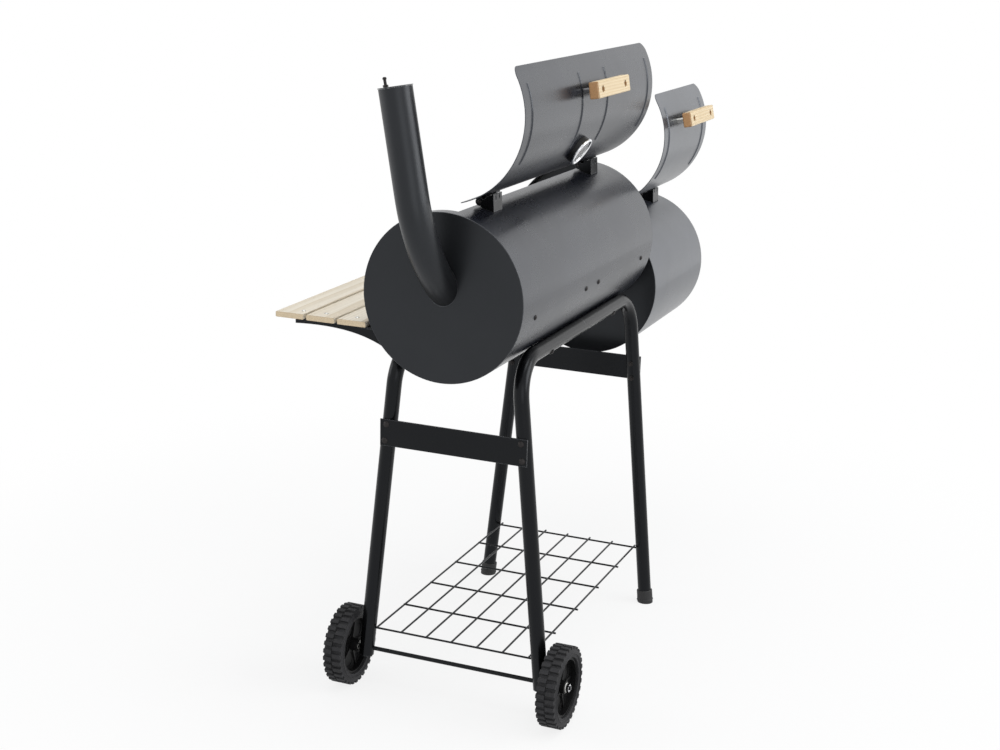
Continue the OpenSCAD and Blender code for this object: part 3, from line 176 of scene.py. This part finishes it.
def powder_coat(name, colour, roughness, specular, peel=0.00003, ripple=0.0002):
    """Baked powder coat: orange peel, slow colour drift, settled dust, and lighter edges, partly a thinner film
    and partly a painted highlight.

    peel and ripple are the depths of its fine and its slow unevenness.
    """
    f = Finish(name)
    cloud = f.noise(8.0, 4.0, 0.55)
    fleck = f.noise(340.0, 2.0, 0.6)
    base = f.mix(f.span(cloud, 0.3, 0.7), scaled(colour, 0.8), scaled(colour, 1.2))
    base = f.mix(f.span(fleck, 0.35, 0.75, 0.0, 0.25), base, scaled(colour, 1.4))
    up = f.span(f.axis(f.facing, "Z"), 0.2, 1.0)
    settled = f.math("MULTIPLY", up, f.span(f.noise(30.0, 5.0, 0.65), 0.42, 0.72, 0.0, 0.05))
    base = f.mix(settled, base, DUST)
    # painted highlight: edges are lightened towards a pale grey, partly worn film and partly the bright line that
    # light draws along the rims
    rub = f.math("MULTIPLY", f.edge_mask(0.0018), f.span(f.noise(55.0, 4.0, 0.7), 0.35, 0.7, 0.35, 0.8))
    base = f.mix(rub, base, WORN_FILM_AND_RIM_HIGHLIGHT)
    f.set(base_color=base, specular=specular, specular_tint=(0.88, 0.93, 1.0, 1.0))
    handled = f.span(f.noise(14.0, 3.0, 0.6, 0.8), 0.35, 0.7, -0.012, 0.015)
    grain = f.span(fleck, 0.3, 0.7, -0.008, 0.01)
    f.set(roughness=f.math("ADD", f.math("ADD", handled, grain), roughness, clamp=True))
    waves = f.bump(f.noise(5.0, 1.5, 0.4), ripple, f.soft_edges(0.0006))
    f.set(normal=f.bump(f.noise(820.0, 2.0, 0.5), peel, waves, 0.5))
    return f.material


def wood(name, light, dark, end, aged, board_depth, band):
    """Planed pine sawn along X: growth rings about a pith well off the board, fibres, pores, end grain.

    Every board_depth along Y a new board starts, with its own tone and rings. A larger band packs the
    rings closer.
    """
    f = Finish(name)
    board = f.math("FLOOR", f.math("DIVIDE", f.axis(f.point, "Y"), board_depth))
    own = f.node("ShaderNodeTexWhiteNoise", {"W": board}, noise_dimensions="1D").outputs
    moved = f.vector_math("ADD", f.point, f.vector_math("MULTIPLY", own["Color"], (3.0, 0.12, 0.09)))
    rings = f.node("ShaderNodeTexWave", {"Vector": f.stretched((0.5, 1.0, 1.0), moved), "Scale": band,
                                         "Distortion": 3.2, "Detail": 2.0, "Detail Scale": 0.12,
                                         "Detail Roughness": 0.4},
                   wave_type="RINGS", rings_direction="X", wave_profile="SAW").outputs["Fac"]
    fibres = f.noise(1.0, 4.0, 0.65, 0.3, f.stretched((5.0, 260.0, 260.0), moved))
    pores = f.noise(1.0, 2.0, 0.5, 0.0, f.stretched((22.0, 900.0, 900.0), moved))
    base = f.mix(f.span(rings, 0.25, 1.0), light, dark)
    base = f.mix(f.span(fibres, 0.3, 0.75, 0.0, 0.55), base, scaled(dark, 0.82))
    base = f.mix(f.span(pores, 0.62, 0.78, 0.0, 0.45), base, scaled(dark, 0.5))
    base = f.mix(f.span(own["Value"], 0.0, 1.0, 0.0, 0.35), base, scaled(light, 0.84))
    base = f.mix(f.span(f.noise(6.0, 3.0, 0.6), 0.45, 0.75, 0.0, 0.3), base, aged)
    across = f.math("ABSOLUTE", f.axis(f.facing, "X"))
    end_grain = f.mix(f.span(pores, 0.3, 0.7), end, scaled(end, 0.6))
    base = f.mix(f.span(across, 0.75, 0.95, 0.0, 0.85), base, end_grain)
    rub = f.math("MULTIPLY", f.edge_mask(0.0014), f.span(f.noise(45.0, 3.0, 0.7), 0.4, 0.7, 0.0, 0.5))
    base = f.mix(rub, base, scaled(dark, 0.75))
    f.set(base_color=base, specular=0.35)
    f.set(roughness=f.math("ADD", f.span(fibres, 0.3, 0.7, 0.0, 0.12), f.span(rings, 0.0, 1.0, 0.46, 0.56)))
    height = f.math("ADD", fibres, f.math("MULTIPLY", pores, -0.6))
    f.set(normal=f.bump(height, 0.00012, f.soft_edges(0.0012), 0.6))
    return f.material


def metal(name, colour, tarnish, roughness, scratches=(400.0, 400.0, 400.0), spots=0.3, edge=0.0008):
    """Bare or plated metal: fine marks, cloudy tarnish, small dark spots, brighter edges.

    scratches stretches the marks: they run along the axis where it is small.
    """
    f = Finish(name)
    marks = f.noise(1.0, 3.0, 0.6, 0.2, f.stretched(scratches))
    cloud = f.noise(38.0, 4.0, 0.6)
    pits = f.noise(210.0, 3.0, 0.7)
    base = f.mix(f.span(cloud, 0.4, 0.75, 0.0, 0.6), colour, tarnish)
    base = f.mix(f.span(pits, 0.62, 0.75, 0.0, spots), base, scaled(tarnish, 0.35))
    base = f.mix(f.math("MULTIPLY", f.edge_mask(edge), 0.45), base, scaled(colour, 1.25))
    f.set(base_color=base, metallic=1.0)
    wear = f.math("ADD", f.span(marks, 0.3, 0.7, -0.06, 0.08), f.span(cloud, 0.35, 0.75, 0.0, 0.12))
    f.set(roughness=f.math("ADD", wear, roughness, clamp=True))
    f.set(normal=f.bump(marks, 0.00002, f.soft_edges(edge), 0.5))
    return f.material


def cast_iron(name, colour, rust):
    """Bare rod darkened by fire, with ash dust and rust bloom."""
    f = Finish(name)
    bloom = f.noise(60.0, 5.0, 0.7)
    scale = f.noise(420.0, 3.0, 0.6)
    base = f.mix(f.span(bloom, 0.45, 0.7, 0.0, 0.7), colour, rust)
    ash = f.math("MULTIPLY", f.span(f.axis(f.facing, "Z"), 0.2, 1.0), f.span(scale, 0.35, 0.7, 0.0, 0.35))
    base = f.mix(ash, base, ASH)
    f.set(base_color=base, metallic=0.35, roughness=f.span(scale, 0.3, 0.7, 0.55, 0.8))
    f.set(normal=f.bump(scale, 0.00025, f.soft_edges(0.0008), 0.7))
    return f.material


def rubber(name, colour):
    """Moulded rubber: matt, with a dusty bloom and fine mould grain."""
    f = Finish(name)
    bloom = f.noise(26.0, 5.0, 0.65)
    grit = f.noise(520.0, 3.0, 0.6)
    base = f.mix(f.span(bloom, 0.4, 0.7), colour, scaled(colour, 1.7))
    base = f.mix(f.span(grit, 0.55, 0.75, 0.0, 0.25), base, ROAD_DUST)
    rub = f.math("MULTIPLY", f.edge_mask(0.001), f.span(bloom, 0.35, 0.7, 0.1, 0.5))
    base = f.mix(rub, base, WORN_RUBBER)
    f.set(base_color=base, specular=0.3, roughness=f.span(bloom, 0.3, 0.7, 0.62, 0.82))
    f.set(normal=f.bump(grit, 0.00012, f.soft_edges(0.0009), 0.6))
    return f.material


def plastic(name, colour, roughness, specular=0.45):
    """Moulded black plastic with a fine texture and rubbed edges."""
    f = Finish(name)
    grain = f.noise(1300.0, 2.0, 0.5)
    cloud = f.noise(22.0, 3.0, 0.6)
    base = f.mix(f.span(cloud, 0.35, 0.7), colour, scaled(colour, 1.35))
    rub = f.math("MULTIPLY", f.edge_mask(0.0009), f.span(f.noise(80.0, 3.0), 0.35, 0.7, 0.1, 0.7))
    base = f.mix(rub, base, scaled(colour, 3.0))
    f.set(base_color=base, specular=specular)
    broad = f.span(cloud, 0.3, 0.7, roughness, roughness + 0.1)
    f.set(roughness=f.math("ADD", f.span(grain, 0.3, 0.7, 0.0, 0.08), broad))
    f.set(normal=f.bump(grain, 0.00004, f.soft_edges(0.0008), 0.5))
    return f.material


def enamel(name, colour, aged):
    """Smooth printed or sprayed enamel with slight yellowing and dust."""
    f = Finish(name)
    stain = f.noise(140.0, 4.0, 0.6)
    base = f.mix(f.span(stain, 0.4, 0.75, 0.0, 0.5), colour, aged)
    f.set(base_color=base, roughness=f.span(stain, 0.3, 0.7, 0.3, 0.42), specular=0.5)
    f.set(normal=f.bump(stain, 0.00002, None, 0.4))
    return f.material


def glass(name):
    """Clear cover glass with a faint greasy haze."""
    f = Finish(name)
    haze = f.noise(90.0, 4.0, 0.65)
    f.set(base_color=f.mix(f.span(haze, 0.4, 0.8, 0.0, 0.08), WHITE, GREASE_HAZE))
    f.set(roughness=f.span(haze, 0.4, 0.8, 0.01, 0.09), ior=1.46, transmission=1.0)
    f.set(normal=f.bump(haze, 0.00001, None, 0.2))
    return f.material


SLATS_LOW, SLATS_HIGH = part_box("shelf_slats")
SLAT_COUNT = 3
ONE_BOARD = 10.0  # deeper than the whole smoker, so that each handle is a single board
MARKS_ALONG_X = (30.0, 900.0, 900.0)
MARKS_ALONG_Z = (900.0, 900.0, 30.0)

FINISHES = {
    "barrel_paint": powder_coat("satin_charcoal_coat", rgb(25, 27, 34), roughness=0.28, specular=0.6),
    "disc_paint": powder_coat("satin_black_coat", rgb(22, 23, 25), roughness=0.36, specular=0.4),
    "frame_paint": powder_coat("frame_black_coat", rgb(8, 8, 9), roughness=0.25, specular=0.22,
                               peel=0.00004, ripple=0.0001),
    "black_fasteners": metal("black_oxide_steel", rgb(58, 56, 56), rgb(34, 33, 33), 0.42, spots=0.5),
    "plated_steel": metal("zinc_plated_steel", rgb(196, 196, 192), rgb(150, 148, 140), 0.3, MARKS_ALONG_X),
    "chromed_steel": metal("chrome_plate", rgb(224, 225, 227), rgb(196, 198, 202), 0.1, spots=0.1),
    "grate_steel": metal("cooking_grate_wire", rgb(150, 148, 144), rgb(96, 90, 82), 0.34, spots=0.6),
    "fire_iron": cast_iron("fire_grate_iron", rgb(46, 44, 43), rust=rgb(92, 58, 38)),
    "handle_wood": wood("handle_pine", light=rgb(224, 207, 176), dark=rgb(206, 181, 140),
                        end=rgb(206, 152, 100), aged=rgb(200, 178, 142), board_depth=ONE_BOARD, band=60.0),
    "shelf_wood": wood("shelf_pine", light=rgb(236, 228, 212), dark=rgb(214, 200, 176),
                       end=rgb(248, 224, 186), aged=rgb(212, 204, 188),
                       board_depth=(SLATS_HIGH.y - SLATS_LOW.y) / SLAT_COUNT, band=42.0),
    "tyre_rubber": rubber("tyre_rubber", rgb(36, 36, 38)),
    "hub_plastic": plastic("hub_plastic", rgb(9, 9, 10), roughness=0.45, specular=0.2),
    "foot_plastic": plastic("foot_plastic", rgb(30, 30, 31), roughness=0.55),
    "case_black": plastic("case_black", rgb(26, 26, 27), roughness=0.3),
    "dial_white": enamel("dial_enamel", rgb(192, 193, 191), aged=rgb(176, 172, 160)),
    "dial_glass": glass("cover_glass"),
    "needle_red": enamel("needle_enamel", rgb(104, 20, 18), aged=rgb(84, 18, 16)),
}

# painted highlight: the firebox has the barrel's charcoal paint, drawn lighter here for the light that falls on it
FIREBOX_PAINTED_LIGHT_COAT = powder_coat("charcoal_coat_painted_lighter", rgb(46, 49, 56), roughness=0.29, specular=0.85)

# nodes whose finish differs from their slot's
OWN_FINISH = {
    "axle": FINISHES["frame_paint"],
    "hinge_pins": FINISHES["black_fasteners"],
    "shelf_screws": FINISHES["plated_steel"],
    # painted highlight: the firebox's shell and lid get the lighter copy of the barrel paint
    "firebox_shell": FIREBOX_PAINTED_LIGHT_COAT,
    "firebox_lid": FIREBOX_PAINTED_LIGHT_COAT,
    "main_standoffs": metal("dulled_zinc", rgb(120, 120, 122), rgb(84, 83, 80), 0.34, MARKS_ALONG_Z),
}

for name, obj in NODES.items():
    finish = OWN_FINISH.get(name, FINISHES[SLOTS[name]])
    if not obj.data.materials:
        obj.data.materials.append(finish)
    for slot in obj.material_slots:
        slot.material = finish


# ---------------------------------------------------------------- the thermometer's scale

INK = enamel("scale_ink", rgb(24, 24, 26), rgb(40, 38, 36))
ZONE_INK = enamel("zone_ink", rgb(120, 122, 124), rgb(104, 104, 102))
NEEDLE = next(joint for joint in frame["joints"] if joint["name"] == "thermometer_needle_turn")
DIAL_OUT = -Vector(NEEDLE["axis"]).normalized()
DIAL_UP = DIAL_OUT.cross(Vector((1.0, 0.0, 0.0)))
DIAL_LOW, DIAL_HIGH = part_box("thermometer_dial")
DIAL_RADIUS = (DIAL_HIGH.x - DIAL_LOW.x) / 2
INK_LIFT, ZONE_LIFT = 0.00008, 0.00005  # how far the print stands off the dial's face


def on_dial(radius, degrees, lift=INK_LIFT):
    """A point of the dial's face; 0 degrees is to the right of its centre, 90 above it."""
    angle = math.radians(degrees)
    flat = Vector((math.cos(angle), 0.0, 0.0)) + DIAL_UP * math.sin(angle)
    return Vector(NEEDLE["pos_m"]) + flat * radius + DIAL_OUT * lift


def print_patches(name, patches, material, lift):
    """Flat printed patches, each (inner radius, outer radius, from angle, to angle), as one mesh."""
    degrees_a_step = 4
    points, faces = [], []
    for inner, outer, start, end in patches:
        steps = max(1, round(abs(end - start) / degrees_a_step))
        for i in range(steps + 1):
            angle = start + (end - start) * i / steps
            points += [on_dial(inner, angle, lift), on_dial(outer, angle, lift)]
            if i:
                n = len(points)
                faces.append((n - 4, n - 3, n - 1, n - 2))
    mesh = bpy.data.meshes.new(name)
    mesh.from_pydata(points, [], faces)
    mesh.materials.append(material)
    piece = bpy.data.objects.new(name, mesh)
    bpy.context.scene.collection.objects.link(piece)
    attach(piece, "main_lid")


def print_number(value, degrees):
    """A number of the scale, upright, nearer to the centre than its tick."""
    text = bpy.data.curves.new(f"dial_number_{value}", "FONT")
    text.body = str(value)
    text.size = 0.21 * DIAL_RADIUS
    text.align_x = text.align_y = "CENTER"
    text.materials.append(INK)
    piece = bpy.data.objects.new(text.name, text)
    turn = Matrix(((1.0, 0.0, 0.0), DIAL_UP, DIAL_OUT)).transposed().to_4x4()
    piece.matrix_world = Matrix.Translation(on_dial(0.6 * DIAL_RADIUS, degrees)) @ turn
    bpy.context.scene.collection.objects.link(piece)
    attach(piece, "main_lid")


def make_scale():
    """A tick for every 10 from 0 to 300 over the needle's range, a shaded smoking range and a rim line."""
    zero, turn, ticks, labelled = 225.0, NEEDLE["range_deg"][1], 30, 5
    zone_start, zone_stop = 9, 15  # 90 to 150 on the scale
    half_tick = 0.9  # degrees
    angles = [zero - turn * i / ticks for i in range(ticks + 1)]
    r = DIAL_RADIUS
    outer, short, long = r * 0.87, r * 0.8, r * 0.74
    marks = [(short if i % labelled else long, outer, angle - half_tick, angle + half_tick)
             for i, angle in enumerate(angles)]
    rim_line = (r * 0.9, r * 0.93, 0.0, 360.0)
    zone = (r * 0.3, r * 0.45, angles[zone_start], angles[zone_stop])
    print_patches("dial_ticks", marks + [rim_line], INK, INK_LIFT)
    print_patches("dial_zone", [zone], ZONE_INK, ZONE_LIFT)
    for i in range(0, ticks + 1, labelled):
        print_number(i * 10, angles[i])


make_scale()


# ---------------------------------------------------------------- forms that the solids lack

def add_piece(name, points, faces, body, slot):
    """A closed mesh with its faces turned outwards, in the slot's finish, riding on the body."""
    mesh = bpy.data.meshes.new(name)
    mesh.from_pydata(points, [], faces)
    work = bmesh.new()
    work.from_mesh(mesh)
    bmesh.ops.recalc_face_normals(work, faces=work.faces)
    work.to_mesh(mesh)
    work.free()
    mesh.materials.append(FINISHES[slot])
    piece = bpy.data.objects.new(name, mesh)
    bpy.context.scene.collection.objects.link(piece)
    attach(piece, body)
    return piece


def hub_panel(wheel, thickness=0.0012):
    """The thin panel that closes the windows between a hub's spokes; dish lists its (radius, bulge)."""
    tyre_low, tyre_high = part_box("tyre_" + wheel)
    hub_low, hub_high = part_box("hub_" + wheel)
    centre = (tyre_low + tyre_high) / 2
    rim = (hub_high.x - hub_low.x) / 2
    dish = [(0.0125, 0.0), (0.02, 0.0006), (0.034, 0.001), (0.044, 0.0006), (rim - 0.006, 0.0)]
    loop = [(r, y + thickness / 2) for r, y in dish] + [(r, y - thickness / 2) for r, y in reversed(dish)]
    steps, points, faces = 72, [], []
    for i in range(steps):
        angle = math.tau * i / steps
        across, up = math.cos(angle), math.sin(angle)
        points += [(centre.x + r * across, centre.y + y, centre.z + r * up) for r, y in loop]
        for k in range(len(loop)):
            a, b = i * len(loop), (i + 1) % steps * len(loop)
            after = (k + 1) % len(loop)
            faces.append((a + k, a + after, b + after, b + k))
    add_piece("hub_panel_" + wheel, points, faces, "wheel_" + wheel, "hub_plastic")


def bezier(controls, t):
    """The point at t of a cubic curve with four controls."""
    weights = ((1 - t) ** 3, 3 * t * (1 - t) ** 2, 3 * t * t * (1 - t), t ** 3)
    return tuple(sum(w * point[k] for w, point in zip(weights, controls)) for k in (0, 1))


def prism(outline, x0, x1, first):
    """Points and faces of a closed outline of (y, z) drawn out from x0 to x1.

    first is the number of its first point in the mesh that it joins.
    """
    count = len(outline)
    near, far = list(range(first, first + count)), list(range(first + count, first + 2 * count))
    faces = [near, far[::-1]]
    faces += [(near[k], far[k], far[(k + 1) % count], near[(k + 1) % count]) for k in range(count)]
    return [(x, y, z) for x in (x0, x1) for y, z in outline], faces


def shelf_gussets(plate=0.0025, set_in=0.0045, width=0.03):
    """The two brackets under the slats: a web near each end that sweeps to the barrel, and two flanges.

    plate is the sheet's thickness, set_in the web's distance from the slats' end, width the flanges'.
    """
    low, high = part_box("shelf_brackets")
    shell_low, shell_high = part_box("chamber_shell")
    axis = (shell_low + shell_high) / 2
    stand_off = 0.0003  # the curved flange's distance from the barrel
    radius = (shell_high.z - shell_low.z) / 2 + stand_off
    top = high.z

    # the web's lower edge: a curve from its nose, under the outermost slat, to its foot on the barrel
    nose_depth, foot = 0.0085, (axis.y - 0.1086, axis.z - 0.107)
    nose, towards = (low.y, top - nose_depth), (low.y + 0.07, top - 0.004)
    edge_steps, arc_steps = 24, 16
    controls = (nose, towards, (low.y + 0.135, top - nose_depth), foot)
    edge = [bezier(controls, i / edge_steps) for i in range(edge_steps + 1)]
    start = math.atan2(foot[1] - axis.z, foot[0] - axis.y) % math.tau
    stop = math.pi + math.asin((axis.z - top + plate) / radius)
    turns = [start + (stop - start) * i / arc_steps for i in range(arc_steps + 1)]

    def arc(r):
        return [(axis.y + r * math.cos(angle), axis.z + r * math.sin(angle)) for angle in turns]

    web = edge + arc(radius + plate / 2) + [(low.y, top - plate / 2)]
    short_of_barrel = 0.003
    flange_end = arc(radius)[-1][0] - short_of_barrel
    shelf = [(low.y, top - plate), (flange_end, top - plate), (flange_end, top), (low.y, top)]
    band = arc(radius) + arc(radius + plate)[::-1]
    points, faces = [], []
    for web_x, inward in ((SLATS_LOW.x + set_in, 1), (SLATS_HIGH.x - set_in, -1)):
        for outline, depth in ((web, plate), (shelf, width), (band, width)):
            more, sides = prism(outline, web_x, web_x + inward * depth, len(points))
            points += more
            faces += sides
    piece = add_piece("shelf_gussets", points, faces, "smoker", "frame_paint")
    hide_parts("shelf_brackets")


hub_panel("front")
hub_panel("rear")
shelf_gussets()


# ---------------------------------------------------------------- floor, backdrop, lamps, camera

LOW, HIGH = (Vector(corner) for corner in CAD_BOX)
CENTRE = (LOW + HIGH) / 2


def seen_white(tree, shader, output, share=None):
    """White of strength 1 for camera, glossy and transmitted rays, the shader for all others.

    share is the part of the white that those rays get, all of it if it isn't given.
    """
    path = tree.nodes.new("ShaderNodeLightPath")
    seen = path.outputs["Is Camera Ray"]
    for ray in ("Is Glossy Ray", "Is Transmission Ray"):
        either = tree.nodes.new("ShaderNodeMath")
        either.operation = "MAXIMUM"
        tree.links.new(seen, either.inputs[0])
        tree.links.new(path.outputs[ray], either.inputs[1])
        seen = either.outputs[0]
    if share is not None:
        part = tree.nodes.new("ShaderNodeMath")
        part.operation = "MULTIPLY"
        tree.links.new(seen, part.inputs[0])
        tree.links.new(share, part.inputs[1])
        seen = part.outputs[0]
    kind = "ShaderNodeBackground" if output.bl_idname == "ShaderNodeOutputWorld" else "ShaderNodeEmission"
    white = tree.nodes.new(kind)
    white.inputs["Color"].default_value = WHITE
    blend = tree.nodes.new("ShaderNodeMixShader")
    tree.links.new(seen, blend.inputs["Fac"])
    tree.links.new(shader, blend.inputs[1])
    tree.links.new(white.outputs[0], blend.inputs[2])
    tree.links.new(blend.outputs[0], output.inputs["Surface"])


def make_floor(half=12.0):
    """A matt floor that keeps the shadow near the object and fades into the white backdrop away from it."""
    mesh = bpy.data.meshes.new("floor")
    corners = [(x * half, y * half, LOW.z) for x, y in ((-1, -1), (1, -1), (1, 1), (-1, 1))]
    mesh.from_pydata(corners, [], [(0, 1, 2, 3)])
    floor = bpy.data.objects.new("floor", mesh)
    bpy.context.scene.collection.objects.link(floor)
    material = bpy.data.materials.new("pale_floor")
    material.use_nodes = True
    tree = material.node_tree
    tree.nodes.clear()
    output = tree.nodes.new("ShaderNodeOutputMaterial")
    matt = tree.nodes.new("ShaderNodeBsdfDiffuse")
    matt.inputs["Color"].default_value = (0.8, 0.8, 0.8, 1.0)
    place = tree.nodes.new("ShaderNodeNewGeometry")
    away = tree.nodes.new("ShaderNodeVectorMath")
    away.operation = "DISTANCE"
    away.inputs[1].default_value = (CENTRE.x, CENTRE.y, LOW.z)
    tree.links.new(place.outputs["Position"], away.inputs[0])
    fade = tree.nodes.new("ShaderNodeMapRange")
    fade.interpolation_type = "SMOOTHSTEP"
    near, far, share_near, share_far = 0.5, 1.7, 0.82, 1.0
    for key, value in {"From Min": near, "From Max": far, "To Min": share_near, "To Max": share_far}.items():
        fade.inputs[key].default_value = value
    tree.links.new(away.outputs["Value"], fade.inputs["Value"])
    seen_white(tree, matt.outputs[0], output, fade.outputs["Result"])
    mesh.materials.append(material)


def make_world():
    """A soft, slightly cool fill from all sides, seen as plain white."""
    world = bpy.data.worlds.new("studio")
    world.use_nodes = True
    tree = world.node_tree
    tree.nodes.clear()
    fill = tree.nodes.new("ShaderNodeBackground")
    fill.inputs["Color"].default_value = (0.96, 0.98, 1.0, 1.0)
    fill.inputs["Strength"].default_value = 0.55
    seen_white(tree, fill.outputs[0], tree.nodes.new("ShaderNodeOutputWorld"))
    bpy.context.scene.world = world


def area_lamp(name, place, target, size, power):
    """A rectangular lamp that faces the target: its size in metres, its power in watts."""
    data = bpy.data.lights.new(name, "AREA")
    data.shape = "RECTANGLE"
    data.size, data.size_y = size
    data.energy = power
    lamp = bpy.data.objects.new(name, data)
    lamp.location = place
    lamp.rotation_euler = (Vector(target) - Vector(place)).to_track_quat("-Z", "Y").to_euler()
    bpy.context.scene.collection.objects.link(lamp)


# The photograph's viewpoint: off the chimney end, a little behind and above, with a slight roll (degrees),
# and the camera's place from the middle of the cooking chamber.
YAW, PITCH, ROLL = 112.18, 15.45, 1.46
CAMERA_FROM_CHAMBER = Vector((2.8808, 1.1391, 0.6327))
LENS_MM, SENSOR_MM = 59.74, 36.0


def make_camera():
    """The photograph's view of the object."""
    yaw, pitch, roll = (math.radians(angle) for angle in (YAW, PITCH, ROLL))
    back = Vector((math.sin(yaw) * math.cos(pitch), -math.cos(yaw) * math.cos(pitch), math.sin(pitch)))
    right = Vector((math.cos(yaw), math.sin(yaw), 0.0))
    up = back.cross(right)
    tilted = right * math.cos(roll) + up * math.sin(roll)
    upright = up * math.cos(roll) - right * math.sin(roll)
    data = bpy.data.cameras.new("camera")
    data.lens = LENS_MM
    data.sensor_width = SENSOR_MM
    camera = bpy.data.objects.new("camera", data)
    turn = Matrix((tilted, upright, back)).transposed().to_4x4()
    low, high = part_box("chamber_shell")
    camera.matrix_world = Matrix.Translation((low + high) / 2 + CAMERA_FROM_CHAMBER) @ turn
    bpy.context.scene.collection.objects.link(camera)
    bpy.context.scene.camera = camera


make_floor()
make_world()
area_lamp("key", (-0.6, 3.4, 2.0), CENTRE, (2.6, 1.8), 60.0)
area_lamp("top", (0.4, 0.4, 3.6), CENTRE, (2.4, 2.4), 50.0)
area_lamp("front", (1.2, -3.0, 1.6), CENTRE, (1.6, 1.6), 16.0)
area_lamp("far", (-3.4, 1.7, 1.2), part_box("firebox_shell")[1], (2.6, 2.6), 7.5)
area_lamp("side", (2.6, 1.8, 1.2), CENTRE, (1.6, 1.6), 8.0)
make_camera()
bpy.context.scene.view_settings.view_transform = "Standard"
